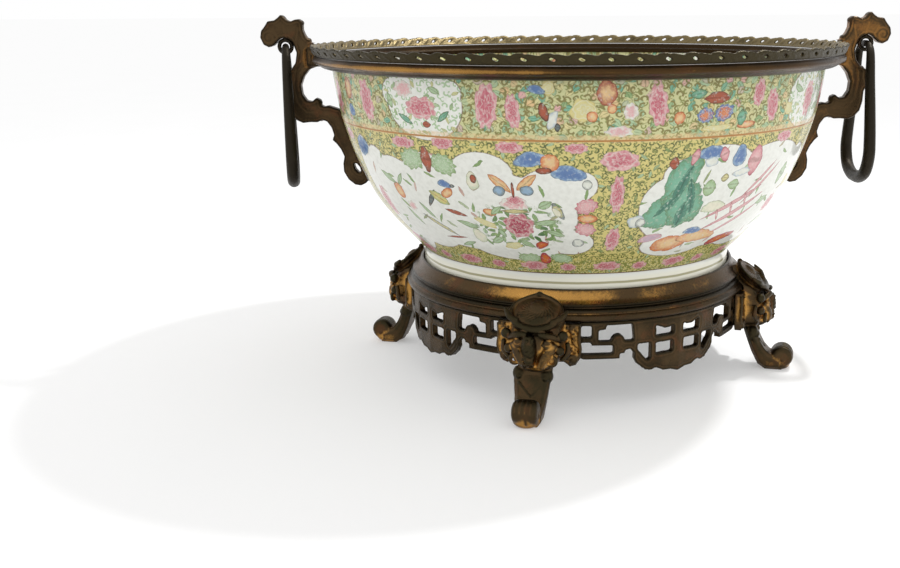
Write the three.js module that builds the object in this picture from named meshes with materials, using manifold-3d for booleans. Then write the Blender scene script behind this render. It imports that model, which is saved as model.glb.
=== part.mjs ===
// Bronze-mounted porcelain punch bowl: a famille-rose bowl in a moulded rim collar with a pierced gallery,
// two scroll handles with loose drop rings, and a four-legged stand with fretwork aprons.
// Millimetres, +Z up, the handles along X, the feet on z = 0.
import * as THREE from "three";
import { mergeVertices } from "three/addons/utils/BufferGeometryUtils.js";
import Module from "manifold-3d";

const wasm = await Module();
wasm.setup();

// Fits: the space between two castings that touch, the space round a screw's shank,
// and how far a cutting bar or prism runs past what it cuts.
const FIT = 0.3;
const SHANK_FIT = 0.3;
const CUT_CLEAR = 20;

// Round pieces share one count of facets, so that a collar stays parallel to the bowl it clasps.
const FACETS = 40;

// Stand: its height, its ring, and the angle at which the legs stand to the handles
const STAND_TURN = -14.2;
const STAND_HEIGHT = 67;
const RING_HEIGHT = 21.9;
const RING_SEAT_DEPTH = 6.6;
const RING_SEAT_WIDTH = 12.4;
const RING_PROJECTION = 12.1;
const RING_LIP_GAP = 1.2;

// Porcelain bowl
const FOOT_OUTER_R = 123.9;
const FOOT_WIDTH = 10.4;
const FOOT_HEIGHT = 17;
const FOOT_HOLLOW = 12;
const FLOOR_THICKNESS = 7.5;
const FLOOR_TURN_RISE = 45;
const BOWL_HEIGHT = 162.2;
const LIP_R = 191.1;
const LIP_ROUND = 2.5;
const WALL = 5.6;

// Rim collar and gallery
const COLLAR_GRIP = 4.9;
const COLLAR_RISE = 4.2;
const COLLAR_PROJECTION = 13.9;
const COLLAR_LEDGE_WIDTH = 9;
const COLLAR_BEAD = 2.6;
const HOOK_THICKNESS = 1.5;
const GALLERY_LEAVES = 72;
const GALLERY_HEIGHT = 7;
const GALLERY_SETBACK = 1.2;
const GALLERY_FLARE = 3.2;
const GALLERY_THICKNESS = 2.6;

// Handles, and the eye and ring under each head
const HANDLE_THICKNESS = 10;
const HANDLE_BEVEL = 1.2;
const PAD_HALF_WIDTH = 8.5;
const PAD_DEPTH = 6.6;
const EYE_REACH = 23.6;
const EYE_RISE = 5.7;
const EYE_MAJOR = 4.9;
const EYE_MINOR = 1.6;
const EYE_SHANK_R = 1.4;
const EYE_SHANK_LENGTH = 12.6;
const LOOP_DEPTH = 105.4;
const LOOP_HALF_WIDTH = 29.2;
const LOOP_WIRE_TOP = 2.4;
const LOOP_WIRE_BOTTOM = 4.9;
const LOOP_LEFT_TURN = 10.3;
const HANDLE_SCREW_DROP = 1.5;
const HANDLE_SCREW_Y = 4.6;
const HANDLE_SCREW_R = 1;
const HANDLE_SCREW_HEAD_R = 1.6;
const HANDLE_SCREW_HEAD = 1.4;
const HANDLE_SCREW_LENGTH = 16.4;

// Aprons and legs
const APRON_THICKNESS = 4.6;
const APRON_DEPTH = 44.7;
const APRON_HALF_ANGLE = 38.5;
const WING_THICKNESS = 4.7;
const WING_HALF_WIDTH = 30;
const LEG_WIDTH = 24;
const LEG_BEVEL = 3;
const FOOT_BALL_REACH = 38.2;
const FOOT_BALL_R = 8.8;
const FOOT_BALL_HALF_WIDTH = 11.6;
const LEG_BOLT_RISE = 8;
const LEG_BOLT_R = 2;
const LEG_BOLT_HEAD_R = 4;
const LEG_BOLT_HEAD = 3;
const LEG_BOLT_LENGTH = 34;
const APRON_SCREW_DROP = 12.7;
const APRON_SCREW_ANGLE = 35.6;
const APRON_SCREW_R = 1.1;
const APRON_SCREW_HEAD_R = 2.2;
const APRON_SCREW_HEAD = 1.8;
const APRON_SCREW_LENGTH = 8;

// Heights and radii that follow: the bowl stands in the ring, the collar clasps the bowl's lip,
// the gallery and the handles stand on the collar, and the aprons and legs hang on the ring.
const RING_BOTTOM_Z = STAND_HEIGHT;
const RING_TOP_Z = RING_BOTTOM_Z + RING_HEIGHT;
const LEDGE_Z = RING_TOP_Z - RING_SEAT_DEPTH;
const RING_INNER_R = FOOT_OUTER_R - RING_SEAT_WIDTH;
const FOOT_BOTTOM_Z = LEDGE_Z + FIT;
const FOOT_TOP_Z = FOOT_BOTTOM_Z + FOOT_HEIGHT;
const FOOT_INNER_R = FOOT_OUTER_R - FOOT_WIDTH;
const UNDERSIDE_Z = FOOT_BOTTOM_Z + FOOT_HOLLOW;
const FLOOR_Z = UNDERSIDE_Z + FLOOR_THICKNESS;
const LIP_Z = FOOT_BOTTOM_Z + BOWL_HEIGHT;
const COLLAR_BOTTOM_Z = LIP_Z - COLLAR_GRIP;
const COLLAR_LEDGE_Z = LIP_Z + COLLAR_RISE;
const COLLAR_BEAD_R = LIP_R + COLLAR_PROJECTION;
const COLLAR_INNER_LEDGE_R = COLLAR_BEAD_R - COLLAR_LEDGE_WIDTH;
const GALLERY_FOOT_Z = COLLAR_LEDGE_Z + FIT;
const GALLERY_TOP_Z = GALLERY_FOOT_Z + GALLERY_HEIGHT;
const GALLERY_FOOT_R = COLLAR_BEAD_R - GALLERY_SETBACK;
const GALLERY_CREST_R = GALLERY_FOOT_R + GALLERY_FLARE;
const EYE_R = COLLAR_BEAD_R + EYE_REACH;
const EYE_Z = COLLAR_LEDGE_Z + EYE_RISE;
const HANDLE_SCREW_Z = COLLAR_LEDGE_Z - HANDLE_SCREW_DROP;
const HANDLE_SCREW_SEAT_R = COLLAR_INNER_LEDGE_R * Math.cos(Math.PI / FACETS) - FIT - 0.7;
const HANDLE_SCREW_TIP_R = HANDLE_SCREW_SEAT_R + HANDLE_SCREW_LENGTH;
const APRON_OUTER_R = FOOT_OUTER_R + RING_PROJECTION;
const APRON_INNER_R = APRON_OUTER_R - APRON_THICKNESS;
const APRON_TOP_Z = RING_BOTTOM_Z - FIT;
const WING_INNER_R = APRON_OUTER_R + FIT;
const LEG_BOLT_Z = RING_BOTTOM_Z + LEG_BOLT_RISE;
const LEG_BOLT_SEAT_R = RING_INNER_R * Math.cos(Math.PI / FACETS) - FIT;
const LEG_BOLT_TIP_R = LEG_BOLT_SEAT_R + LEG_BOLT_LENGTH;
const APRON_SCREW_Z = APRON_TOP_Z - APRON_SCREW_DROP;
const APRON_SCREW_SEAT_R = APRON_INNER_R - FIT;
const APRON_SCREW_TIP_R = APRON_SCREW_SEAT_R + APRON_SCREW_LENGTH;

// Measured outlines are drawn as (out, up) from what carries them: the collar's bead and ledge,
// or the aprons' outer face and the ring's lower edge.
const fromCollar = ([out, up]) => [COLLAR_BEAD_R + out, COLLAR_LEDGE_Z + up];
const fromRing = ([out, up]) => [APRON_OUTER_R + out, RING_BOTTOM_Z + up];
const fromTable = ([out, up]) => [APRON_OUTER_R + out, up];

// Materials
function material(colour, roughness, metalness) {
  return new THREE.MeshStandardMaterial({ color: colour, roughness, metalness });
}
const porcelain = () => material(0xe9eadf, 0.22, 0);
const patinatedBronze = () => material(0x4d3f2b, 0.48, 0.85);
const greyBronze = () => material(0x7a745e, 0.5, 0.8);
const darkBronze = () => material(0x2c2a24, 0.42, 0.85);
const brass = () => material(0xa08445, 0.4, 0.9);

// Geometry helpers
const v2 = (x, y) => new THREE.Vector2(x, y);
const points2 = (pairs) => pairs.map(([x, y]) => v2(x, y));
const radians = THREE.MathUtils.degToRad;

// A spline through a few points, ends included.
function curveThrough(pairs, steps) {
  return new THREE.SplineCurve(points2(pairs)).getPoints(steps);
}

// Points of an arc round a centre, from one angle to another in degrees.
function arcPoints(cx, cy, radius, fromDeg, toDeg, steps) {
  const made = [];
  for (let i = 0; i <= steps; i++) {
    const angle = radians(fromDeg + ((toDeg - fromDeg) * i) / steps);
    made.push(v2(cx + radius * Math.cos(angle), cy + radius * Math.sin(angle)));
  }
  return made;
}

// A closed solid from a geometry, turned outwards if its faces point in.
function solidOf(geometry) {
  const bare = geometry.clone();
  bare.deleteAttribute("normal");
  bare.deleteAttribute("uv");
  const merged = mergeVertices(bare, 1e-4);
  const triVerts = new Uint32Array(merged.index.array);
  const make = () =>
    new wasm.Manifold(
      new wasm.Mesh({
        numProp: 3,
        vertProperties: merged.attributes.position.array,
        triVerts,
      }),
    );
  const made = make();
  if (made.volume() >= 0) return made;
  for (let i = 0; i < triVerts.length; i += 3) {
    const kept = triVerts[i + 1];
    triVerts[i + 1] = triVerts[i + 2];
    triVerts[i + 2] = kept;
  }
  return make();
}

function geometryOf(solid) {
  const mesh = solid.getMesh();
  const geometry = new THREE.BufferGeometry();
  geometry.setAttribute("position", new THREE.BufferAttribute(mesh.vertProperties, 3));
  geometry.setIndex(new THREE.BufferAttribute(mesh.triVerts, 1));
  const flat = geometry.toNonIndexed();
  flat.computeVertexNormals();
  return flat;
}

// A solid of revolution round Z from a closed profile of (radius, height) points.
function revolve(profile, facets = FACETS) {
  const closed = profile[0].x === 0 ? profile : [...profile, profile[0].clone()];
  return solidOf(new THREE.LatheGeometry(closed, facets).rotateX(Math.PI / 2));
}

// A shape drawn in the upright plane (radius, height), thick along Y and centred on it.
function castInRadialPlane(shape, thickness, bevel) {
  const depth = thickness - 2 * bevel;
  const geometry = new THREE.ExtrudeGeometry(shape, {
    depth,
    bevelEnabled: bevel > 0,
    bevelThickness: bevel,
    bevelSize: bevel,
    bevelOffset: -bevel,
    bevelSegments: 1,
  });
  geometry.translate(0, 0, -depth / 2);
  return solidOf(geometry.rotateX(Math.PI / 2));
}

// A shape drawn in the plane (tangent, height), thick along X from one radius to another.
function castOutwards(shape, fromR, toR, bevel = 0) {
  const geometry = new THREE.ExtrudeGeometry(shape, {
    depth: toR - fromR - 2 * bevel,
    bevelEnabled: bevel > 0,
    bevelThickness: bevel,
    bevelSize: bevel,
    bevelOffset: -bevel,
    bevelSegments: 1,
    curveSegments: 4,
  });
  geometry.translate(0, 0, fromR + bevel);
  const x = new THREE.Vector3(1, 0, 0);
  const y = new THREE.Vector3(0, 1, 0);
  const z = new THREE.Vector3(0, 0, 1);
  return solidOf(geometry.applyMatrix4(new THREE.Matrix4().makeBasis(y, z, x)));
}

// A solid through closed loops of points, capped with fans at both ends.
function loft(loops) {
  const count = loops[0].length;
  const positions = [];
  const index = [];
  for (const loop of loops) for (const p of loop) positions.push(p.x, p.y, p.z);
  for (let k = 0; k + 1 < loops.length; k++) {
    for (let i = 0; i < count; i++) {
      const j = (i + 1) % count;
      const a = k * count + i;
      const b = k * count + j;
      index.push(a, b, a + count, b, b + count, a + count);
    }
  }
  const last = (loops.length - 1) * count;
  for (let i = 1; i + 1 < count; i++) {
    index.push(0, i + 1, i);
    index.push(last, last + i, last + i + 1);
  }
  const geometry = new THREE.BufferGeometry();
  geometry.setAttribute("position", new THREE.Float32BufferAttribute(positions, 3));
  geometry.setIndex(index);
  return solidOf(geometry);
}

// A round bar that runs outwards along X at a tangent offset and a height.
function radialBar(radius, fromR, toR, y, z, sides = 8) {
  const geometry = new THREE.CylinderGeometry(radius, radius, toR - fromR, sides);
  geometry.rotateZ(Math.PI / 2);
  geometry.translate((fromR + toR) / 2, y, z);
  return solidOf(geometry);
}

// A cheese-head screw that points outwards along X: head, then shank with a chamfered tip.
function radialScrew(headR, headHeight, shankR, seatR, length, z) {
  const profile = points2([
    [0, 0],
    [headR * 0.9, 0],
    [headR, headHeight],
    [shankR, headHeight],
    [shankR * 0.8, headHeight + length],
    [0, headHeight + length],
  ]);
  const geometry = new THREE.LatheGeometry(profile, 6);
  geometry.rotateZ(-Math.PI / 2);
  geometry.translate(seatR - headHeight, 0, z);
  return solidOf(geometry);
}

// The outer face of the bowl, as shares of the way out and up from the foot to the lip.
const BODY_SHARES = [
  [0, 0],
  [0.089, 0.042],
  [0.194, 0.097],
  [0.361, 0.184],
  [0.551, 0.302],
  [0.705, 0.443],
  [0.843, 0.619],
  [0.941, 0.797],
  [1, 1],
];

// The outer face as (radius, height) points from the foot to the lip.
function bodyCurve() {
  const footR = FOOT_OUTER_R + 0.8;
  const height = LIP_Z - LIP_ROUND - FOOT_TOP_Z;
  const place = ([out, up]) => [footR + out * (LIP_R - footR), FOOT_TOP_Z + up * height];
  return curveThrough(BODY_SHARES.map(place), 9);
}

// The bowl's outer radius at a height.
function bodyRadius(z) {
  const line = bodyCurve();
  for (let i = 0; i + 1 < line.length; i++) {
    if (z <= line[i + 1].y) {
      const share = (z - line[i].y) / (line[i + 1].y - line[i].y);
      return line[i].x + share * (line[i + 1].x - line[i].x);
    }
  }
  return line[line.length - 1].x;
}

// The inner face follows the outer one at the wall's thickness, then eases into the flat floor.
function innerFace() {
  const heights = [0.96, 0.6].map((share) => FOOT_TOP_Z + share * (LIP_Z - FOOT_TOP_Z));
  const turn = FLOOR_Z + FLOOR_TURN_RISE;
  const floor = [
    [bodyRadius(turn) - WALL, turn],
    [bodyRadius(FLOOR_Z + 25) - 1.9 * WALL, FLOOR_Z + 25],
    [FOOT_OUTER_R - 6.7, FLOOR_Z + 9.5],
    [FOOT_OUTER_R - 38.7, FLOOR_Z + 2],
    [0, FLOOR_Z],
  ];
  return [...heights.map((z) => v2(bodyRadius(z) - WALL, z)), ...curveThrough(floor, 5)];
}

function makeBowl() {
  const foot = points2([
    [0, UNDERSIDE_Z],
    [FOOT_INNER_R, UNDERSIDE_Z],
    [FOOT_INNER_R + 1.4, FOOT_BOTTOM_Z],
    [FOOT_OUTER_R - 1.2, FOOT_BOTTOM_Z],
    [FOOT_OUTER_R, FOOT_BOTTOM_Z + 1.6],
  ]);
  const lip = points2([
    [LIP_R - 1.4, LIP_Z],
    [LIP_R - WALL + 1.2, LIP_Z],
  ]);
  return revolve([...foot, ...bodyCurve(), ...lip, ...innerFace()]);
}

// The collar's outer moulding from the bottom edge to the ledge: fillet, bead and quirk.
function collarOuter() {
  return [
    v2(COLLAR_BEAD_R - 10.4, COLLAR_BOTTOM_Z - 0.2),
    v2(COLLAR_BEAD_R - 6.4, COLLAR_BOTTOM_Z + 1),
    v2(COLLAR_BEAD_R - 4, COLLAR_BOTTOM_Z + 2.6),
    ...arcPoints(COLLAR_BEAD_R - COLLAR_BEAD, COLLAR_LEDGE_Z - COLLAR_BEAD - 0.4, COLLAR_BEAD, -60, 60, 2),
    v2(GALLERY_FOOT_R, COLLAR_LEDGE_Z),
  ];
}

function makeCollar() {
  const channelTop = LIP_Z + FIT;
  const outer = bodyRadius(LIP_Z) + FIT;
  const inner = bodyRadius(LIP_Z) - WALL - FIT;
  const hook = inner - HOOK_THICKNESS;
  const profile = [
    v2(bodyRadius(COLLAR_BOTTOM_Z) + FIT, COLLAR_BOTTOM_Z),
    ...collarOuter(),
    v2(COLLAR_INNER_LEDGE_R, COLLAR_LEDGE_Z),
    v2(COLLAR_INNER_LEDGE_R - 1.2, LIP_Z + HOOK_THICKNESS - 0.8),
    v2(hook, LIP_Z + HOOK_THICKNESS - 0.9),
    v2(hook, COLLAR_BOTTOM_Z + 1.5),
    v2(inner - 0.5, COLLAR_BOTTOM_Z + 1.5),
    v2(inner, channelTop),
    v2(outer, channelTop),
  ];
  const bars = handleScrewBars();
  const cutters = [...bars, ...bars.map((bar) => bar.rotate([0, 0, 180]))];
  return cutters.reduce((solid, bar) => solid.subtract(bar), revolve(profile));
}

// The gallery: a flared ring of slanted leaves with a scalloped crest, one pierced slot between two leaves.
function makeGallery() {
  const pitch = 1 / GALLERY_LEAVES;
  const outline = points2([[0, 0], [1, 0], [1, 0.86], [0.66, 1], [0, 0.86]]);
  const slot = points2([[0.46, 0.7], [0.76, 0.3], [0.52, 0.34], [0.22, 0.72]]);
  const faces = THREE.ShapeUtils.triangulateShape(outline.slice(), [slot.slice()]);
  const cell = [...outline, ...slot];
  const positions = [];
  const index = [];
  const place = (p, leaf, out) => {
    const angle = 2 * Math.PI * pitch * (leaf + p.x);
    const r = GALLERY_FOOT_R + GALLERY_FLARE * p.y - (out ? 0 : GALLERY_THICKNESS);
    positions.push(r * Math.cos(angle), r * Math.sin(angle), GALLERY_FOOT_Z + GALLERY_HEIGHT * p.y);
  };
  for (let leaf = 0; leaf < GALLERY_LEAVES; leaf++) {
    const first = positions.length / 3;
    for (const out of [true, false]) for (const p of cell) place(p, leaf, out);
    const back = first + cell.length;
    for (const [a, b, c] of faces) {
      index.push(first + a, first + b, first + c);
      index.push(back + a, back + c, back + b);
    }
    const wall = (a, b) => index.push(first + a, back + a, back + b, first + a, back + b, first + b);
    wall(0, 1);
    wall(2, 3);
    wall(3, 4);
    for (let i = 0; i < slot.length; i++) {
      wall(outline.length + i, outline.length + ((i + 1) % slot.length));
    }
  }
  const geometry = new THREE.BufferGeometry();
  geometry.setAttribute("position", new THREE.Float32BufferAttribute(positions, 3));
  geometry.setIndex(index);
  return solidOf(geometry);
}

// The space that the collar, the gallery and the bowl take, grown by the fit, for cutting a handle to them.
function rimAndBowlSpace() {
  const fillet = COLLAR_BOTTOM_Z + 3;
  const grown = collarOuter().map((p) => v2(p.x + FIT, p.y + (p.y < fillet ? -FIT : 0)));
  const wall = bodyCurve().map((p) => v2(p.x + FIT, p.y));
  const crest = GALLERY_CREST_R + FIT + 0.2;
  return revolve([
    v2(0, FOOT_TOP_Z),
    ...wall.slice(0, -1),
    v2(bodyRadius(COLLAR_BOTTOM_Z - 1) + FIT, COLLAR_BOTTOM_Z - FIT - 0.2),
    ...grown,
    v2(COLLAR_BEAD_R + FIT, COLLAR_LEDGE_Z),
    v2(crest, GALLERY_TOP_Z - GALLERY_HEIGHT / 2),
    v2(crest, GALLERY_TOP_Z + 1),
    v2(0, GALLERY_TOP_Z + 1),
  ]);
}

// Handle outline in the upright plane as (out, up) from the collar, feature by feature: from the foot
// on the rim round the head, down the outside of the scroll to the terminal, and up the inside of the C.
const HEAD_BACK = [[-1.1, 8.3], [5.1, 8.7], [4.9, 11.1], [7.2, 14.1], [8.9, 18.3], [8.8, 24.5]];
const HEAD_CREST = [[11.4, 26.5], [14.6, 26.2], [18.4, 24.7], [21.4, 26]];
const HEAD_KNOB = [[23.3, 28.7], [25.7, 29.8], [27.6, 27.9]];
const HEAD_BROW = [[30.6, 25.7], [35.9, 25], [38.2, 21.5]];
const HEAD_LOBE = [[41.4, 17.7], [42.3, 12.7], [40.1, 7.3], [36, 5.2], [32.1, 6.5], [29.9, 8.7]];
const NECK = [[17.3, 8.7], [14.7, 0.9], [16.1, -6.7], [20.3, -12.3], [24.9, -14.4]];
const SCROLL_OUTER = [[25.2, -20.1], [26.8, -26.1], [24.1, -31.3]];
const SCROLL_TURN = [[23.6, -40.1], [21.8, -46.9], [17.9, -51.3]];
const SCROLL_LOWER = [[12.9, -53.6], [6.7, -52.9], [1.5, -53.1], [-2.3, -51.3], [-6.1, -52.5]];
const STRAP_OUTER = [[-9.5, -57.3], [-11.2, -63.3], [-9.8, -67.3], [-12.8, -70.1]];
const SCROLL_ROOT = [[-17.6, -43.3], [-11.2, -41.1], [-7.8, -40.1], [-4.4, -40.8], [-1.4, -39.1]];
const SCROLL_KNOB = [[-1.6, -35.4], [1.5, -34], [4.9, -36.8]];
const SCROLL_INNER = [[8.9, -35.9], [12.1, -31.1], [12.8, -24.1], [10, -17.3], [5.5, -11.8], [-1.3, -9.5]];
// The strap's foot and the terminal lie along the bowl, so they are drawn as (out from its wall, up).
const STRAP_FOOT = [[13, -74.7], [12.7, -80.5]];
const TERMINAL_SIDE = [[16.4, -86.1], [19.1, -92.7], [18.7, -99.1]];
const TERMINAL_FOOT = [[16.2, -103.3], [11.9, -104.1], [6.5, -102.1], [1.3, -98.7]];
const TERMINAL_CURL = [6.6, -89.7];
const HANDLE_OUTSIDE = [
  HEAD_BACK,
  HEAD_CREST,
  HEAD_KNOB,
  HEAD_BROW,
  HEAD_LOBE,
  NECK,
  SCROLL_OUTER,
  SCROLL_TURN,
  SCROLL_LOWER,
  STRAP_OUTER,
];
const HANDLE_FOOT = [STRAP_FOOT, TERMINAL_SIDE, TERMINAL_FOOT];
const HANDLE_INSIDE = [SCROLL_ROOT, SCROLL_KNOB, SCROLL_INNER];

const fromWall = ([out, up]) => [bodyRadius(COLLAR_LEDGE_Z + up) + out, COLLAR_LEDGE_Z + up];

// The curl's eye is an oval hole in the terminal.
function terminalCurl() {
  const [x, y] = fromWall(TERMINAL_CURL);
  const oval = arcPoints(0, 0, 1, 0, 300, 5).map((p) => v2(1.9 * p.x, 4.6 * p.y));
  return oval.map((p) => p.rotateAround(v2(0, 0), radians(-28)).add(v2(x, y)));
}

function handleOutline() {
  const place = (feature) => points2(feature.map(fromCollar));
  const foot = points2(HANDLE_FOOT.flat().map(fromWall));
  const againstBowl = points2([[-WALL, -98.7], [-WALL, -69.7]].map(fromWall));
  const underRim = points2([[-5, -9.3], [-5, 8.3]].map(fromCollar));
  const outside = [...HANDLE_OUTSIDE.flatMap(place), ...foot, ...againstBowl];
  const inside = [...HANDLE_INSIDE.flatMap(place), ...underRim];
  const shape = new THREE.Shape([...outside, ...inside]);
  shape.holes.push(new THREE.Path(terminalCurl()));
  return shape;
}

// The pad that spreads the handle over the collar, for its two screws.
function handlePad() {
  const shape = new THREE.Shape();
  const w = PAD_HALF_WIDTH;
  const low = COLLAR_BOTTOM_Z - 0.5;
  const high = COLLAR_LEDGE_Z + 6;
  shape.moveTo(3 - w, low);
  shape.lineTo(w - 3, low);
  shape.quadraticCurveTo(w, low + 2, w, low + 6);
  shape.quadraticCurveTo(w, high - 2, w - 4, high);
  shape.lineTo(4 - w, high);
  shape.quadraticCurveTo(-w, high - 2, -w, low + 6);
  shape.quadraticCurveTo(-w, low + 2, 3 - w, low);
  return castOutwards(shape, COLLAR_BEAD_R - 7, COLLAR_BEAD_R + PAD_DEPTH, 1);
}

// The bores of a handle's two screws, from inside the rim to just past their tips.
function handleScrewBars() {
  const fromR = HANDLE_SCREW_SEAT_R - CUT_CLEAR / 2;
  const radius = HANDLE_SCREW_R + SHANK_FIT;
  return [-HANDLE_SCREW_Y, HANDLE_SCREW_Y].map((y) => {
    return radialBar(radius, fromR, HANDLE_SCREW_TIP_R + FIT, y, HANDLE_SCREW_Z);
  });
}

// The space round the eye and its shank, let into the head.
function eyeSpace() {
  const round = EYE_MAJOR + EYE_MINOR + FIT;
  const ring = new THREE.CylinderGeometry(round, round, 2 * HANDLE_THICKNESS, 20);
  ring.translate(EYE_R, 0, EYE_Z);
  const hole = EYE_SHANK_R + FIT;
  const length = EYE_SHANK_LENGTH + FIT;
  const shank = new THREE.CylinderGeometry(hole, hole, length, 8);
  shank.translate(0, length / 2, 0).rotateX(Math.PI / 2).translate(EYE_R, 0, EYE_Z);
  return solidOf(ring).add(solidOf(shank));
}

function makeHandle() {
  const casting = castInRadialPlane(handleOutline(), HANDLE_THICKNESS, HANDLE_BEVEL).add(handlePad());
  const cuts = [rimAndBowlSpace(), eyeSpace(), ...handleScrewBars()];
  return cuts.reduce((solid, cut) => solid.subtract(cut), casting);
}

// The eye under the head: a small ring with its hole along Y, on a shank let into the head.
function makeEye() {
  const ring = new THREE.TorusGeometry(EYE_MAJOR, EYE_MINOR, 6, 12);
  ring.rotateX(Math.PI / 2).translate(EYE_R, 0, EYE_Z);
  const shankLength = EYE_SHANK_LENGTH - EYE_MAJOR;
  const shank = new THREE.CylinderGeometry(EYE_SHANK_R, EYE_SHANK_R, shankLength, 6);
  shank.rotateX(Math.PI / 2).translate(EYE_R, 0, EYE_Z + EYE_MAJOR + shankLength / 2);
  return solidOf(ring).add(solidOf(shank));
}

// The drop ring: a long loop, narrow above, wide below, its wire swelling towards the bottom.
// Half of its centre line as shares of its half width and of its depth below the eye.
const LOOP_SHARES = [
  [0, 0],
  [0.274, 0.011],
  [0.445, 0.047],
  [0.534, 0.114],
  [0.63, 0.266],
  [0.822, 0.493],
  [0.973, 0.693],
  [1, 0.816],
  [0.788, 0.934],
  [0.377, 0.991],
];

function makeDropRing(turnDeg) {
  const side = (sign, shares) => {
    return shares.map(([out, down]) => {
      return new THREE.Vector3(0, sign * out * LOOP_HALF_WIDTH, -down * LOOP_DEPTH);
    });
  };
  const bottom = new THREE.Vector3(0, 0, -LOOP_DEPTH);
  const line = [...side(1, LOOP_SHARES), bottom, ...side(-1, LOOP_SHARES.slice(1).reverse())];
  const curve = new THREE.CatmullRomCurve3(line, true, "centripetal");
  const stations = 30;
  const sides = 7;
  const positions = [];
  const index = [];
  for (let i = 0; i < stations; i++) {
    const centre = curve.getPointAt(i / stations);
    const along = curve.getTangentAt(i / stations);
    const across = new THREE.Vector3(1, 0, 0);
    const outward = new THREE.Vector3().crossVectors(along, across);
    const depth = -centre.z / LOOP_DEPTH;
    const wire = LOOP_WIRE_TOP + (LOOP_WIRE_BOTTOM - LOOP_WIRE_TOP) * Math.pow(depth, 0.45);
    for (let j = 0; j < sides; j++) {
      const angle = (2 * Math.PI * j) / sides;
      const p = centre.clone();
      p.addScaledVector(across, wire * Math.cos(angle)).addScaledVector(outward, wire * Math.sin(angle));
      positions.push(p.x, p.y, p.z);
      const a = i * sides + j;
      const b = i * sides + ((j + 1) % sides);
      const next = ((i + 1) % stations) * sides;
      const c = next + ((j + 1) % sides);
      const d = next + j;
      index.push(a, b, c, a, c, d);
    }
  }
  const geometry = new THREE.BufferGeometry();
  geometry.setAttribute("position", new THREE.Float32BufferAttribute(positions, 3));
  geometry.setIndex(index);
  geometry.rotateZ(radians(turnDeg)).translate(EYE_R, 0, EYE_Z);
  return solidOf(geometry);
}

// The stand ring's outer moulding from the bottom edge up to the lip: torus, bead, fillet, cove and lip.
function standOuter() {
  const moulding = [
    [0.2, 0],
    [2.2, 1],
    [2.4, 4.2],
    [0, 6],
    [-0.2, 8.6],
    [-2.6, 9.8],
    [-1.2, 11.6],
    [-5.2, 14.4],
    [-7.4, 18],
  ];
  const lip = FOOT_OUTER_R + RING_LIP_GAP;
  return [...points2(moulding.map(fromRing)), v2(lip + 2.1, RING_TOP_Z - 0.6), v2(lip + 1.1, RING_TOP_Z)];
}

// The bore of a leg's bolt, from inside the ring to just past its tip.
const legBoltBar = () => {
  return radialBar(LEG_BOLT_R + SHANK_FIT, RING_INNER_R - CUT_CLEAR, LEG_BOLT_TIP_R + FIT, 0, LEG_BOLT_Z);
};

function makeStandRing() {
  const lip = FOOT_OUTER_R + RING_LIP_GAP;
  const profile = [
    ...standOuter(),
    v2(lip, RING_TOP_Z - 0.6),
    v2(lip, LEDGE_Z),
    v2(RING_INNER_R, LEDGE_Z),
    v2(RING_INNER_R, RING_BOTTOM_Z + 2),
    v2(RING_INNER_R + 5, RING_BOTTOM_Z),
  ];
  let solid = revolve(profile);
  for (let k = 0; k < 4; k++) {
    solid = solid.subtract(legBoltBar().rotate([0, 0, STAND_TURN + 90 * k]));
  }
  return solid;
}

// Fretwork apron: a curved plate with its lower edge and its windows cut through it. Each cut is drawn
// as (angle from the panel's middle in degrees, drop below its top edge), for the panel's right half.
const APRON_FACETS = 48;
const LAPPET_CUT = [
  [-0.4, 48.7],
  [-0.4, 43.3],
  [0, 43.3],
  [2.4, 41.5],
  [5.6, 40.9],
  [8.2, 38.1],
  [10, 39.5],
  [12, 38.5],
  [13.4, 35.7],
  [15.2, 32.1],
  [15.2, 48.7],
];
const ARCH_CUT = [
  [14.9, 48.7],
  [14.9, 33.2],
  [15.9, 28.7],
  [15.8, 24.7],
  [17, 21.5],
  [18.4, 22.1],
  [18.8, 24.5],
  [19.8, 24.5],
  [20.2, 21.1],
  [20.2, 48.7],
];
const PAST_END = APRON_HALF_ANGLE + 1;
const FRET_CUT = [[19.9, 48.7], [20.2, 28.3], [31.6, 28.1], [33, 26.7], [PAST_END, 26.3], [PAST_END, 48.7]];

// The windows: two panes and a slanted one in the lappet, then the key fret.
const UPPER_PANE = [[2, 13.3], [8.3, 13.5], [8.4, 5.9], [5.4, 8.7], [3.4, 8.7], [2, 7.3]];
const LOWER_PANE = [[2.2, 26.9], [8.2, 27.1], [8.3, 18.9], [2.2, 19.1]];
const SLANTED_PANE = [[10.3, 30.1], [11.2, 31.1], [14.5, 21.9], [14.5, 18.3], [10.3, 18.3]];
const LARGE_PANE = [[16, 14.7], [26.8, 14.1], [26.8, 6.5], [24.6, 5.9], [24.4, 2.5], [16.6, 2.5]];
const OUTER_PANE = [[29.2, 11.3], [32.2, 11.3], [32.2, 2.9], [29.2, 2.9]];
const RAIL_PANE = [[22.6, 23.7], [32.2, 23.5], [32.2, 15.5], [29.2, 15.5], [29.2, 17.7], [22.6, 18.1]];
const EDGE_CUTS = [LAPPET_CUT, ARCH_CUT, FRET_CUT];
const PANES = [UPPER_PANE, LOWER_PANE, SLANTED_PANE, OUTER_PANE, RAIL_PANE];
const BOSS_ANGLE = 20.9;
const BOSS_R = 5.4;

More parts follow.
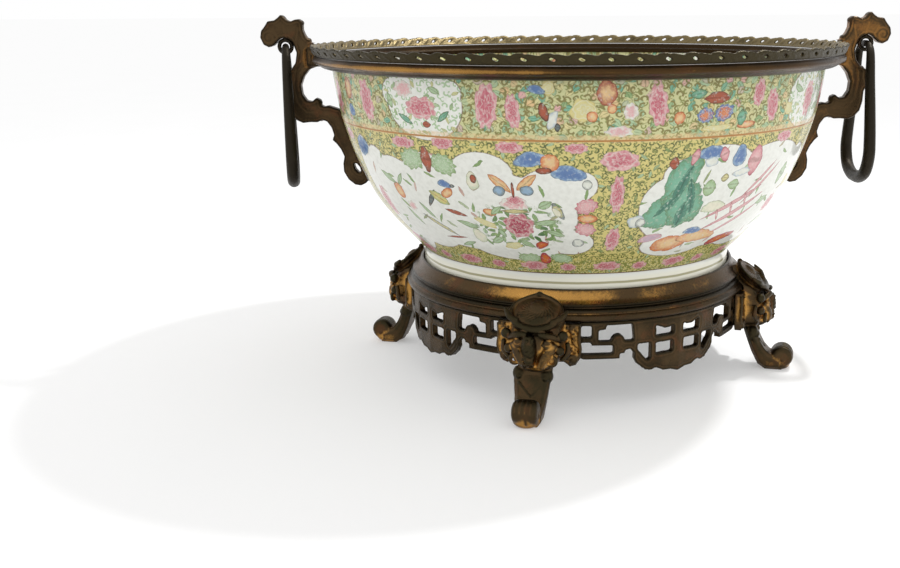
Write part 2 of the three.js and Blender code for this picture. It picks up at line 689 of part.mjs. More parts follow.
// A cut's prism runs outwards at the cut's own middle angle, so it keeps its width on the curve.
function apronPrism(pairs) {
  const angles = pairs.map(([deg]) => deg);
  const middle = (Math.min(...angles) + Math.max(...angles)) / 2;
  const across = (deg) => APRON_OUTER_R * Math.sin(radians(deg - middle));
  const shape = new THREE.Shape(pairs.map(([deg, drop]) => v2(across(deg), APRON_TOP_Z - drop)));
  return castOutwards(shape, APRON_INNER_R - CUT_CLEAR, APRON_OUTER_R + CUT_CLEAR).rotate([0, 0, middle]);
}

// The large window keeps a half-round boss on its sill.
function largeWindow() {
  const sill = APRON_TOP_Z - LARGE_PANE[0][1];
  const boss = radialBar(BOSS_R, APRON_INNER_R - 2 * CUT_CLEAR, APRON_OUTER_R + 2 * CUT_CLEAR, 0, sill, 12);
  return apronPrism(LARGE_PANE).subtract(boss.rotate([0, 0, BOSS_ANGLE]));
}

// The bore of an apron's screw, through the apron and into the leg's wing.
const apronScrewBar = () => {
  const fromR = APRON_INNER_R - CUT_CLEAR;
  return radialBar(APRON_SCREW_R + SHANK_FIT, fromR, APRON_SCREW_TIP_R + FIT, 0, APRON_SCREW_Z, 6);
};

function makeApron() {
  const low = APRON_TOP_Z - APRON_DEPTH;
  const plate = points2([
    [APRON_INNER_R, low],
    [APRON_OUTER_R, low],
    [APRON_OUTER_R, APRON_TOP_Z],
    [APRON_INNER_R, APRON_TOP_Z],
  ]);
  const reach = 1.5 * APRON_OUTER_R;
  const end = radians(APRON_HALF_ANGLE);
  const sector = new THREE.Shape([
    v2(0, 0),
    v2(reach * Math.cos(end), -reach * Math.sin(end)),
    v2(reach * 1.2, 0),
    v2(reach * Math.cos(end), reach * Math.sin(end)),
  ]);
  const wedge = new THREE.ExtrudeGeometry(sector, { depth: APRON_TOP_Z + 1, bevelEnabled: false });
  const screw = apronScrewBar().rotate([0, 0, APRON_SCREW_ANGLE]);
  const right = [...[...EDGE_CUTS, ...PANES].map((cut) => apronPrism(cut)), largeWindow(), screw];
  const cuts = [...right, ...right.map((cut) => cut.mirror([0, 1, 0]))];
  const panel = revolve(plate, APRON_FACETS).intersect(solidOf(wedge));
  return cuts.reduce((solid, cut) => solid.subtract(cut), panel);
}

// Leg: the shin and the foot's neck, drawn in the upright plane. Its upper points hang on the ring,
// its lower ones stand on the table.
const SHIN_FRONT = [[15.4, -29.5], [13.4, -33.5], [15.8, -38]];
const INSTEP = [[18, 23.5], [22.5, 16], [28.5, 11.6], [FOOT_BALL_REACH, FOOT_BALL_R]];
const HEEL = [[FOOT_BALL_REACH, 0], [22.4, 0], [16.4, 4], [11, 15], [7.5, 24.4]];
const SHIN_BACK = [[4.5, -34], [1.2, -26], [0.8, -3]];

function shinShape() {
  const front = curveThrough([...SHIN_FRONT.map(fromRing), ...INSTEP.map(fromTable)], 8);
  const back = [...HEEL.map(fromTable), ...SHIN_BACK.map(fromRing)];
  return new THREE.Shape([v2(...fromRing([15.4, -3])), ...front, ...points2(back)]);
}

// The ball that the foot curls up into, cut flat where it stands.
function footBall() {
  const ball = new THREE.SphereGeometry(1, 12, 4);
  ball.scale(FOOT_BALL_R, FOOT_BALL_HALF_WIDTH, FOOT_BALL_R);
  ball.translate(APRON_OUTER_R + FOOT_BALL_REACH, 0, FOOT_BALL_R - 0.3);
  return solidOf(ball);
}

// The beast mask from its jaw to the crest on the ring, as (up, half width, out) from the ring.
const MASK = [
  [-30, 13, 21.5],
  [-27, 16.5, 25.6],
  [-21.6, 19.6, 26],
  [-11.2, 21.6, 28.4],
  [-6.6, 20.2, 26.2],
  [-3, 19.2, 22.8],
  [1.6, 19.4, 21],
  [5.4, 19.4, 15.2],
  [11, 18, 6.2],
  [16.6, 13.6, 2.6],
  [19.8, 7.4, -0.8],
];

function maskSolid() {
  const steps = 6;
  const loops = MASK.map(([up, half, out]) => {
    const [front, z] = fromRing([out, up]);
    const back = APRON_OUTER_R + Math.min(1, out - 12);
    const loop = [];
    for (let i = 0; i <= steps; i++) {
      const angle = -Math.PI / 2 + (Math.PI * i) / steps;
      const reach = Math.pow(Math.cos(angle), 0.75) || 0;
      loop.push(new THREE.Vector3(back + 2 + (front - back - 2) * reach, half * Math.sin(angle), z));
    }
    loop.push(new THREE.Vector3(back, half * 0.9, z), new THREE.Vector3(back, -half * 0.9, z));
    return loop;
  });
  return loft(loops);
}

// A small swelling of the mask: the snout, an eye under the brow, or an ear.
function featureBall([out, up], y, rx, ry, rz) {
  const [x, z] = fromRing([out, up]);
  const ball = new THREE.SphereGeometry(1, 6, 4);
  ball.rotateX(Math.PI / 2).scale(rx, ry, rz).translate(x, y, z);
  return solidOf(ball);
}

// The wings behind the mask, cut to the curve of the aprons that they hold.
function wingSolid() {
  const w = WING_HALF_WIDTH;
  const half = [[w, -FIT], [w, -17], [w + 0.6, -25], [w - 3, -30.6], [w - 7, -31.8], [w - 11, -28.4]];
  const side = half.map(([y, up]) => [y, RING_BOTTOM_Z + up]);
  const outline = points2([...side, ...side.map(([y, z]) => [-y, z]).reverse()]);
  const plate = castOutwards(new THREE.Shape(outline), APRON_INNER_R - CUT_CLEAR, APRON_OUTER_R + CUT_CLEAR);
  const shell = revolve(
    points2([
      [WING_INNER_R, RING_BOTTOM_Z - 40],
      [WING_INNER_R + WING_THICKNESS, RING_BOTTOM_Z - 40],
      [WING_INNER_R + WING_THICKNESS, RING_BOTTOM_Z + 5],
      [WING_INNER_R, RING_BOTTOM_Z + 5],
    ]),
    APRON_FACETS,
  );
  return plate.intersect(shell);
}

// The space of the stand ring and the aprons, grown by the fit, for cutting a leg to them.
function standSpace() {
  const grown = standOuter().map((p) => v2(p.x + FIT, p.y));
  const core = RING_INNER_R - CUT_CLEAR;
  return revolve([
    v2(core, APRON_TOP_Z - APRON_DEPTH),
    v2(WING_INNER_R, APRON_TOP_Z - APRON_DEPTH),
    v2(WING_INNER_R, APRON_TOP_Z),
    ...grown,
    v2(grown[grown.length - 1].x, RING_TOP_Z + 6),
    v2(core, RING_TOP_Z + 6),
  ]).rotate([0, 0, -STAND_TURN]);
}

function makeLeg() {
  const shin = castInRadialPlane(shinShape(), LEG_WIDTH, LEG_BEVEL);
  const parts = [footBall(), maskSolid(), wingSolid(), featureBall([25, -16], 0, 5, 8, 7)];
  const cuts = [standSpace(), legBoltBar()];
  for (const side of [-1, 1]) {
    parts.push(featureBall([20, -6], side * 10.4, 6, 4.6, 4.4));
    cuts.push(apronScrewBar().rotate([0, 0, side * (45 - APRON_SCREW_ANGLE)]));
  }
  const casting = parts.reduce((solid, part) => solid.add(part), shin).trimByPlane([0, 0, 1], 0);
  return cuts.reduce((solid, cut) => solid.subtract(cut), casting);
}

// Assembly
const bowl = new THREE.Group();
bowl.name = "bronze_mounted_bowl";

function addPiece(name, solid, makeMaterial) {
  const mesh = new THREE.Mesh(geometryOf(solid), makeMaterial());
  mesh.name = name;
  bowl.add(mesh);
}

addPiece("porcelain_bowl", makeBowl(), porcelain);
addPiece("rim_collar", makeCollar(), patinatedBronze);
addPiece("rim_gallery", makeGallery(), greyBronze);

const handle = makeHandle();
const eye = makeEye();
const handleScrew = radialScrew(
  HANDLE_SCREW_HEAD_R,
  HANDLE_SCREW_HEAD,
  HANDLE_SCREW_R,
  HANDLE_SCREW_SEAT_R,
  HANDLE_SCREW_LENGTH,
  HANDLE_SCREW_Z,
);
for (const [side, turn, loopTurn] of [["right", 0, 0], ["left", 180, LOOP_LEFT_TURN]]) {
  addPiece("handle_" + side, handle.rotate([0, 0, turn]), patinatedBronze);
  addPiece("eye_" + side, eye.rotate([0, 0, turn]), darkBronze);
  addPiece("ring_" + side, makeDropRing(loopTurn).rotate([0, 0, turn]), darkBronze);
  [-HANDLE_SCREW_Y, HANDLE_SCREW_Y].forEach((y, i) => {
    const screw = handleScrew.translate([0, y, 0]).rotate([0, 0, turn]);
    addPiece("handle_screw_" + side + "_" + (i + 1), screw, brass);
  });
}

addPiece("stand_ring", makeStandRing(), patinatedBronze);
const leg = makeLeg();
const legBolt = radialScrew(
  LEG_BOLT_HEAD_R,
  LEG_BOLT_HEAD,
  LEG_BOLT_R,
  LEG_BOLT_SEAT_R,
  LEG_BOLT_LENGTH,
  LEG_BOLT_Z,
);
["right", "back", "left", "front"].forEach((side, k) => {
  const turn = STAND_TURN + 90 * k;
  addPiece("leg_" + side, leg.rotate([0, 0, turn]), patinatedBronze);
  addPiece("leg_bolt_" + side, legBolt.rotate([0, 0, turn]), brass);
});

const apron = makeApron();
const apronScrew = radialScrew(
  APRON_SCREW_HEAD_R,
  APRON_SCREW_HEAD,
  APRON_SCREW_R,
  APRON_SCREW_SEAT_R,
  APRON_SCREW_LENGTH,
  APRON_SCREW_Z,
);
["front_right", "back_right", "back_left", "front_left"].forEach((side, k) => {
  const turn = STAND_TURN - 45 + 90 * k;
  addPiece("apron_" + side, apron.rotate([0, 0, turn]), patinatedBronze);
  [-APRON_SCREW_ANGLE, APRON_SCREW_ANGLE].forEach((angle, i) => {
    addPiece("apron_screw_" + side + "_" + (i + 1), apronScrew.rotate([0, 0, turn + angle]), brass);
  });
});

export default bowl;
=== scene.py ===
"""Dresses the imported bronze-mounted bowl: its castings, painted porcelain, floor, lamps and camera."""

import math
import random

import bmesh
import bpy
import numpy as np
from mathutils import Euler, Matrix, Vector
from mathutils.kdtree import KDTree


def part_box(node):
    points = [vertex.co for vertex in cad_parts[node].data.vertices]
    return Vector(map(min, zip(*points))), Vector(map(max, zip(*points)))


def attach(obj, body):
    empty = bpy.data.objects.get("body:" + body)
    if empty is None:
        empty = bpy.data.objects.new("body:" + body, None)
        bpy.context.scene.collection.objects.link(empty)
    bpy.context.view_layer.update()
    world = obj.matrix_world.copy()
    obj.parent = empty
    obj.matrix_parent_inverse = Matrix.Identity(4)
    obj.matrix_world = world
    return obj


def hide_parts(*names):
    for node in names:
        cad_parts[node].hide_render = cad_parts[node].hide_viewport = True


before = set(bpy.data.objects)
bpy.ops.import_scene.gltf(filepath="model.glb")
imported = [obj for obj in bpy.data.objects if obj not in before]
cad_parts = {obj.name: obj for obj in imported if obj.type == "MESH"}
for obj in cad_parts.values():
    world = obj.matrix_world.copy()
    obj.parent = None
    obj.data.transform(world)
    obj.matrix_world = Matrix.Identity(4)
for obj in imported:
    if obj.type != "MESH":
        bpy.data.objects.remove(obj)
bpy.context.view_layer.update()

bl_info = {
    "name": "Bronze-mounted bowl",
    "version": (1, 0, 0),
    "blender": (4, 5, 0),
    "location": "View3D > Sidebar > Mounted bowl",
    "description": "Builds a painted porcelain bowl in patinated bronze mounts",
    "category": "Object",
}

# All profile numbers are millimetres, as a drawing gives them, and meshes are metres.
MM = 0.001
STAND_TURN = math.radians(-14.2)
BODY = "mounted_bowl"
SIDES = {"right": 0.0, "left": math.pi}
LEG_TURNS = {
    side: STAND_TURN + math.radians(90 * k)
    for k, side in enumerate(("right", "back", "left", "front"))
}
APRON_TURNS = {
    side: STAND_TURN + math.radians(90 * k - 45)
    for k, side in enumerate(("front_right", "back_right", "back_left", "front_left"))
}


# Sizes read from the frame
def top_of(node):
    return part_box(node)[1].z


def bottom_of(node):
    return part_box(node)[0].z


FOOT_BOTTOM = bottom_of("porcelain_bowl")
LIP_TOP = top_of("porcelain_bowl")
LIP_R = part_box("porcelain_bowl")[1].x
STAND_HEIGHT = bottom_of("stand_ring")
RING_TOP = top_of("stand_ring")
STAND_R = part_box("stand_ring")[1].x
COLLAR_BOTTOM = bottom_of("rim_collar")
LEDGE = top_of("rim_collar")
COLLAR_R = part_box("rim_collar")[1].x
GALLERY_TOP = top_of("rim_gallery")
GALLERY_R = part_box("rim_gallery")[1].x


class BowlSizes(bpy.types.PropertyGroup):
    """Sizes and counts that a user would change."""

    segments: bpy.props.IntProperty(
        name="Round segments",
        description="Facets round the bowl, the collar and the stand ring",
        default=480,
        min=64,
    )
    leaves: bpy.props.IntProperty(
        name="Gallery leaves",
        description="Pierced leaves round the rim's gallery",
        default=72,
        min=12,
    )
    skin: bpy.props.FloatProperty(
        name="Casting detail",
        description="Edge of the voxels that melt a casting's forms into one skin",
        default=0.0006,
        min=0.0003,
        unit="LENGTH",
    )


class BowlColours(bpy.types.PropertyGroup):
    """Colours that a user would change."""

    glaze: bpy.props.FloatVectorProperty(
        name="Glaze",
        description="White of the porcelain",
        default=(0.92, 0.93, 0.86),
        size=3,
        subtype="COLOR",
    )
    bronze: bpy.props.FloatVectorProperty(
        name="Patina",
        description="Brown skin of the bronze",
        default=(0.075, 0.047, 0.022),
        size=3,
        subtype="COLOR",
    )
    gilt: bpy.props.FloatVectorProperty(
        name="Gilding",
        description="Worn gilding in the hollows of the bronze",
        default=(0.46, 0.24, 0.06),
        size=3,
        subtype="COLOR",
    )


class StageSettings(bpy.types.PropertyGroup):
    """Lamps and camera."""

    lens: bpy.props.FloatProperty(
        name="Lens",
        description="Focal length of the camera",
        default=42.668,
        min=10,
        unit="CAMERA",
    )
    daylight: bpy.props.FloatProperty(
        name="Tent light",
        description="Strength of the even white light all round",
        default=0.96,
        min=0,
    )
    lamp: bpy.props.FloatProperty(
        name="Lamp power",
        description="Power of the soft lamp behind the bowl",
        default=8.0,
        min=0,
        unit="POWER",
    )


# Mesh helpers
def link(name, data):
    piece = bpy.data.objects.new(name, data)
    bpy.context.scene.collection.objects.link(piece)
    return piece


def smooth(mesh, degrees=35):
    mesh.shade_smooth()
    mesh.set_sharp_from_angle(angle=math.radians(degrees))
    return mesh


def mesh_of(name, points, faces):
    mesh = bpy.data.meshes.new(name)
    mesh.from_pydata([tuple(p) for p in points], [], faces)
    mesh.update()
    return mesh


def numbers(items, key, width=1, kind=float):
    """One property of every vertex, corner or face, as an array."""
    found = np.empty(len(items) * width, kind)
    items.foreach_get(key, found)
    return found.reshape(-1, width) if width > 1 else found


def spline(points, steps):
    """Points along a curve through a few points, ends included."""
    made = []
    last = len(points) - 1
    for i in range(last):
        around = [points[max(0, min(last, i + k))] for k in (-1, 0, 1, 2)]
        p0, p1, p2, p3 = [np.array(p, float) for p in around]
        v0 = (p2 - p0) / 2
        v1 = (p3 - p1) / 2
        for k in range(steps):
            t = k / steps
            cubic = (2 * p1 - 2 * p2 + v0 + v1) * t**3
            square = (-3 * p1 + 3 * p2 - 2 * v0 - v1) * t**2
            made.append(tuple(cubic + square + v0 * t + p1))
    made.append(tuple(points[last]))
    return made


def arc(centre, radius, start, end, steps=10):
    """Points of an arc, its angles in degrees."""
    angles = [math.radians(start + (end - start) * i / steps) for i in range(steps + 1)]
    return [(centre[0] + radius * math.cos(a), centre[1] + radius * math.sin(a)) for a in angles]


def even(points, pitch):
    """Points at an even pitch along a line through others, both ends kept."""
    line = np.array(points, float)
    along = np.concatenate([[0], np.cumsum(np.hypot(*np.diff(line, axis=0).T))])
    where = np.append(np.arange(0, along[-1] - pitch / 2, pitch), along[-1])
    return list(zip(np.interp(where, along, line[:, 0]), np.interp(where, along, line[:, 1])))


def revolve(name, profile, segments, closed=True):
    """A mesh of revolution round Z from (radius, height) points in millimetres, outside on the left."""
    count = len(profile)
    points = []
    for k in range(segments):
        angle = 2 * math.pi * k / segments
        for r, z in profile:
            points.append((r * MM * math.cos(angle), r * MM * math.sin(angle), z * MM))
    faces = []
    for k in range(segments):
        near = k * count
        far = (k + 1) % segments * count
        for i in range(count if closed else count - 1):
            j = (i + 1) % count
            faces.append((near + i, far + i, far + j, near + j))
    mesh = mesh_of(name, points, faces)
    tidy(mesh)
    return mesh


def tidy(mesh, gap=1e-6):
    """Joins points that fall together, and turns every face outwards."""
    work = bmesh.new()
    work.from_mesh(mesh)
    bmesh.ops.remove_doubles(work, verts=work.verts, dist=gap)
    bmesh.ops.recalc_face_normals(work, faces=work.faces)
    work.to_mesh(mesh)
    work.free()


def joined(meshes):
    """One mesh of several, each left as it is."""
    work = bmesh.new()
    for mesh in meshes:
        work.from_mesh(mesh)
    made = bpy.data.meshes.new("joined")
    work.to_mesh(made)
    work.free()
    return made


def cad_copy(node, turn=0.0):
    """A CAD node's skin with its points joined, turned round Z."""
    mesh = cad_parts[node].data.copy()
    tidy(mesh, 2e-6)
    mesh.transform(Matrix.Rotation(turn, 4, "Z"))
    return mesh


def mark_hollows(mesh, rounds=24):
    """Stores how far each point lies below the skin's own average nearby, in millimetres."""
    points = numbers(mesh.vertices, "co", 3)
    ends = numbers(mesh.edges, "vertices", 2, np.int32)
    count = len(points)
    links = np.maximum(np.bincount(ends.ravel(), minlength=count), 1)
    average = points.copy()
    for _ in range(rounds):
        for axis in range(3):
            column = average[:, axis]
            sums = np.bincount(ends[:, 0], column[ends[:, 1]], count)
            sums += np.bincount(ends[:, 1], column[ends[:, 0]], count)
            average[:, axis] = sums / links
    normals = numbers(mesh.vertices, "normal", 3)
    hollow = mesh.attributes.new("hollow", "FLOAT", "POINT")
    hollow.data.foreach_set("value", ((average - points) * normals).sum(1) / MM)
    return mesh


def nearest(points, spots):
    """Each point's distance from the nearest of some spots."""
    tree = KDTree(len(spots))
    for i, spot in enumerate(spots):
        tree.insert(spot, i)
    tree.balance()
    return np.array([tree.find(point)[2] for point in points])


def pressed(mesh, depths):
    """Presses a skin in along its normals by millimetres."""
    points = numbers(mesh.vertices, "co", 3) / MM
    points -= numbers(mesh.vertices, "normal", 3) * depths[:, None]
    mesh.vertices.foreach_set("co", (points * MM).ravel())
    mesh.update()


def engrave(mesh, lines, width, depth):
    """Cuts grooves along lines, or raises ridges where the depth is less than nothing."""
    spots = []
    for line in lines:
        for a, b in zip(line, line[1:]):
            count = max(2, math.ceil(math.dist(a, b) / 0.3))
            spots += [tuple(np.array(a) + (np.array(b) - a) * k / count) for k in range(count)]
    far = nearest(numbers(mesh.vertices, "co", 3) / MM, spots)
    pressed(mesh, depth * np.clip(1 - (far / width) ** 2, 0, 1) ** 2)


def groove_along_edges(mesh, facing, inset, width, depth):
    """Cuts a groove beside a flat casting's outline, given how squarely each point faces the front."""
    points = numbers(mesh.vertices, "co", 3) / MM
    flat = facing > 0.9
    far = np.zeros(len(points))
    far[flat] = nearest(points[flat], points[facing < 0.5][::3])
    pressed(mesh, depth * np.clip(1 - ((far - inset) / width) ** 2, 0, 1) ** 2)


def mark_tone(mesh, rule):
    """Stores how gilt each point is, or how dark where less than nothing."""
    tone = mesh.attributes.new("tone", "FLOAT", "POINT")
    tone.data.foreach_set("value", rule(numbers(mesh.vertices, "co", 3) / MM))
    return mesh


def soft_spots(points, spots):
    """The sum of soft round spots (x, y, z, reach, value)."""
    total = np.zeros(len(points))
    for x, y, z, reach, value in spots:
        total += value * np.exp(-((points - (x, y, z)) ** 2).sum(1) / reach**2)
    return total


def melted(name, meshes, voxel, rounds):
    """Melts overlapping closed meshes into one soft-edged skin, as a casting has."""
    piece = link(name, joined(meshes))
    skin = piece.modifiers.new("skin", "REMESH")
    skin.mode = "VOXEL"
    skin.voxel_size = voxel
    skin.use_smooth_shade = True
    soft = piece.modifiers.new("soft", "SMOOTH")
    soft.factor = 0.5
    soft.iterations = rounds
    ready = piece.evaluated_get(bpy.context.evaluated_depsgraph_get())
    mesh = bpy.data.meshes.new_from_object(ready)
    bpy.data.objects.remove(piece)
    mesh.name = name
    mesh.shade_smooth()
    return mesh


def turned(mesh, turn):
    copy = mesh.copy()
    copy.transform(Matrix.Rotation(turn, 4, "Z"))
    return copy


def place(name, mesh, body, slot, material, *nodes):
    """Makes a piece that rides on a body and stands for CAD nodes."""
    piece = link(name, mesh)
    mesh.name = name
    mesh.materials.clear()
    mesh.materials.append(material)
    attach(piece, body)
    if nodes:
        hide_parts(*nodes)
    return piece


# Forms for modelling in the round, in millimetres
def blob(centre, radii, turn=(0, 0, 0)):
    """An ellipsoid, with its turns in degrees."""
    work = bmesh.new()
    bmesh.ops.create_icosphere(work, subdivisions=3, radius=1)
    mesh = bpy.data.meshes.new("blob")
    work.to_mesh(mesh)
    work.free()
    size = Matrix.Diagonal([r * MM for r in radii] + [1])
    spin = Euler([math.radians(a) for a in turn]).to_matrix().to_4x4()
    mesh.transform(Matrix.Translation(Vector(centre) * MM) @ spin @ size)
    return mesh


def rod(path, radii, sides=10, steps=6, closed=False):
    """A round bar along a curve through points, its radius changing along it."""
    curve = spline(list(path) + [path[0]], steps)[:-1] if closed else spline(path, steps)
    line = [Vector(p) for p in curve]
    count = len(line)
    points = []
    side = None
    for i, p in enumerate(line):
        ahead = line[(i + 1) % count] if closed or i + 1 < count else p
        behind = line[i - 1] if closed or i else p
        along = (ahead - behind).normalized()
        if side is None:
            side = along.orthogonal().normalized()
        side = (side - along * side.dot(along)).normalized()
        up = along.cross(side)
        where = i / count if closed else i / (count - 1)
        radius = float(np.interp(where, np.linspace(0, 1, len(radii)), radii))
        for j in range(sides):
            angle = 2 * math.pi * j / sides
            points.append((p + (side * math.cos(angle) + up * math.sin(angle)) * radius) * MM)
    faces = []
    for i in range(count if closed else count - 1):
        near = i * sides
        far = (i + 1) % count * sides
        for j in range(sides):
            k = (j + 1) % sides
            faces.append((near + j, near + k, far + k, far + j))
    if not closed:
        faces.append(tuple(range(sides))[::-1])
        faces.append(tuple(range((count - 1) * sides, count * sides)))
    mesh = mesh_of("rod", points, faces)
    tidy(mesh, 1e-9)
    return mesh


def scroll(centre, reach, thickness, lean, yaw, hand):
    """A spiral roll with a bead in its eye, on a plane that leans back and turns aside by degrees."""
    face = Matrix.Rotation(math.radians(yaw), 4, "Z") @ Matrix.Rotation(math.radians(-lean), 4, "Y")
    path = []
    for k in range(20):
        angle = 0.48 * k
        radius = reach * (1 - 0.036 * k) - thickness
        spot = Vector((0, hand * radius * math.cos(angle), radius * math.sin(angle)))
        path.append(tuple(Vector(centre) + face @ spot))
    bead = blob(centre, [thickness * 1.7] * 3)
    return joined([rod(path, [thickness * 1.1, thickness, thickness * 0.8], 8, 2), bead])


def to_side(path, side):
    """A path on the left half of a leg (1) or mirrored on its right half (-1)."""
    return [(x, y * side, z) for x, y, z in path]


def keep_above_table(mesh):
    points = numbers(mesh.vertices, "co", 3)
    points[:, 2] = np.maximum(points[:, 2], 0.0)
    mesh.vertices.foreach_set("co", points.ravel())


# Shader maths
class Wire:
    """A value on its way through a shader. Python's operators add the Math nodes."""

    def __init__(self, shader, socket):
        self.shader = shader
        self.socket = socket

    def maths(self, operation, *values):
        return self.shader.maths(operation, *values)

    def other(self, name):
        """Another output of the node that this value comes from."""
        return Wire(self.shader, self.socket.node.outputs[name])

    def __add__(self, other):
        return self.maths("ADD", self, other)

    __radd__ = __add__

    def __mul__(self, other):
        return self.maths("MULTIPLY", self, other)

    __rmul__ = __mul__

    def __sub__(self, other):
        return self.maths("SUBTRACT", self, other)

    def __rsub__(self, other):
        return self.maths("SUBTRACT", other, self)

    def __truediv__(self, other):
        return self.maths("DIVIDE", self, other)

    def __rtruediv__(self, other):
        return self.maths("DIVIDE", other, self)

    def __abs__(self):
        return self.maths("ABSOLUTE", self)

    def __gt__(self, other):
        return self.maths("GREATER_THAN", self, other)

    def __lt__(self, other):
        return self.maths("LESS_THAN", self, other)


class Shader:
    """The nodes of a material or of the world, added in the order in which they are worked out."""

    def __init__(self, name, kind="materials"):
        self.owner = getattr(bpy.data, kind).new(name)
        self.owner.use_nodes = True
        self.tree = self.owner.node_tree
        self.tree.nodes.clear()

    def node(self, kind, settings=None, inputs=None, out=0):
        made = self.tree.nodes.new("ShaderNode" + kind)
        for key, value in (settings or {}).items():
            if key == "stops":
                ramp = made.color_ramp
                while len(ramp.elements) < len(value):
                    ramp.elements.new(0.5)
                for element, (position, colour) in zip(ramp.elements, value):
                    element.position = position
                    element.color = (*colour, 1)
            else:
                setattr(made, key, value)
        for key, value in (inputs or {}).items():
            if isinstance(value, Wire):
                self.tree.links.new(value.socket, made.inputs[key])
            else:
                made.inputs[key].default_value = value
        return Wire(self, made.outputs[out]) if made.outputs else None

    def maths(self, operation, *values):
        return self.node("Math", {"operation": operation}, dict(enumerate(values)))

    def vector(self, operation, *values, out=0):
        return self.node("VectorMath", {"operation": operation}, dict(enumerate(values)), out)

    def length(self, place):
        return self.vector("LENGTH", place, out="Value")

    def coordinates(self):
        return self.node("TexCoord", out="Object")

    def noise(self, place, scale, detail=3.0, rough=0.5, out=0):
        inputs = {"Vector": place, "Scale": scale, "Detail": detail, "Roughness": rough}
        return self.node("TexNoise", {}, inputs, out)

    def step(self, value, low, high, to_low=0.0, to_high=1.0):
        """Eases from one number to another as a value goes from low to high."""
        inputs = {0: value, 1: low, 2: high, 3: to_low, 4: to_high}
        return self.node("MapRange", {"interpolation_type": "SMOOTHSTEP"}, inputs)

    def mix(self, mask, under, over, blend="MIX"):
        colours = [c if isinstance(c, Wire) else (*c, 1) for c in (under, over)]
        settings = {"data_type": "RGBA", "blend_type": blend, "clamp_factor": True}
        return self.node("Mix", settings, {0: mask, 6: colours[0], 7: colours[1]}, 2)

    def bump(self, height, distance, strength=1.0):
        return self.node("Bump", {}, {"Height": height, "Distance": distance, "Strength": strength})

    def finish(self, **sockets):
        inputs = {name.replace("_", " "): value for name, value in sockets.items()}
        self.node("OutputMaterial", {}, {"Surface": self.node("BsdfPrincipled", {}, inputs)})
        return self.owner

    def seen(self):
        """One on rays from the camera, gloss and glass, and nothing on the rays that light the bowl."""
        path = self.node("LightPath", out="Is Camera Ray")
        rays = path + path.other("Is Glossy Ray") + path.other("Is Transmission Ray")
        return self.maths("MINIMUM", rays, 1.0)


def bronze(
    name,
    dark,
    brown,
    gilt,
    share=0.0,
    metal=0.95,
    rough=0.36,
    within=None,
    gilding=0.95,
    ridge=0.6,
    grit=0.7,
):
    """Patinated bronze: dark where it stands proud, brown in broad patches, and gilt left in hollows.

    More share leaves more gilding, gilding is the strength of the gilt, ridge is the strength of the
    painted dark reflection along the edges, grit is the strength of the grain, and within is the colour of
    the side towards the bowl's middle, painted paler there as partly grey dust and partly painted light.
    """
    s = Shader(name)
    place = s.coordinates()
    patches = s.noise(place, 40.0, 6.0, 0.62) - 0.5
    grain = s.noise(place, 620.0, 4.0, 0.65) - 0.5
    hollow = s.node("Attribute", {"attribute_name": "hollow"}, out="Fac")
    tone = s.node("Attribute", {"attribute_name": "tone"}, out="Fac")
    level = s.maths("MULTIPLY_ADD", hollow, 0.8, tone) + patches * 1.7 + grain * 0.7 + share
    colour = s.mix(s.step(level, -0.75, 0.0), dark, brown)
    red = s.step(s.noise(place, 75.0, 2.0) + grain * 0.2, 0.52, 0.7, 0.0, 0.5)
    colour = s.mix(red * s.step(level, -0.8, -0.3), colour, (0.11, 0.045, 0.02))
    worn = s.step(level, 0.15, 0.8)
    colour = s.mix(worn * gilding, colour, gilt)
    colour = s.mix(s.step(level, 0.85, 1.5) * gilding * 0.6, colour, [min(1, c * 1.6) for c in gilt])
    # Darkest in the deepest hollows and engraved lines: dark patina there, and painted shade in them.
    colour = s.mix(s.step(hollow + grain * 0.3, 0.3, 0.75) * 0.85, colour, [c * 0.35 for c in dark])
    # Painted dark reflection: sharp edges are darkened, as edges look when they mirror dark surroundings.
    colour = s.mix(s.step(hollow, -0.06, -0.4) * ridge, colour, dark)
    # Paler on the side facing the bowl's middle: grey dust and painted light, the outer side left shaded.
    if within:
        normal = s.node("NewGeometry", out="Normal")
        plan = s.vector("NORMALIZE", s.vector("MULTIPLY", place, (1, 1, 0)))
        facing = s.vector("DOT_PRODUCT", normal, plan, out="Value")
        dust_and_light = s.step(patches + grain * 0.6 - hollow * 0.6, -0.25, 0.2)
        pale = s.mix(dust_and_light, [c * 0.4 for c in within], within)
        colour = s.mix(s.step(facing, 0.1, -0.3) * s.step(hollow, 0.3, 0.1), colour, pale)
    finish = s.step(grain - worn * 0.2, -0.3, 0.4, rough - 0.08, rough + 0.2)
    relief = s.bump(grain + patches * 0.5, 0.0004, grit)
    return s.finish(Base_Color=colour, Roughness=finish, Metallic=metal, Normal=relief)


# Enamels, as a painter's palette gives them on the screen
INKS = {
    "white": (238, 240, 228),
    "ivory": (240, 236, 212),
    "rose": (204, 108, 122),
    "deep_rose": (176, 62, 84),
    "blush": (234, 182, 182),
    "rust": (180, 92, 62),
    "orange": (220, 126, 68),
    "peach": (240, 204, 150),
    "gold": (224, 210, 132),
    "sage": (146, 150, 82),
    "pistachio": (216, 216, 160),
    "straw": (228, 220, 160),
    "ochre": (186, 128, 62),
    "olive": (140, 132, 74),
    "moss": (96, 104, 54),
    "leaf": (142, 174, 112),
    "deep_leaf": (92, 132, 82),
    "mint": (184, 210, 168),
    "teal": (126, 186, 156),
    "deep_teal": (70, 130, 108),
    "sky": (158, 188, 212),
    "blue": (96, 128, 178),
    "slate": (112, 126, 126),
    "umber": (104, 66, 44),
    "ink": (74, 64, 50),
    "lilac": (210, 182, 196),
}


def ink(name):
    """An enamel's colour as the shader counts light."""
    return tuple(((c / 255 + 0.055) / 1.055) ** 2.4 for c in INKS[name])


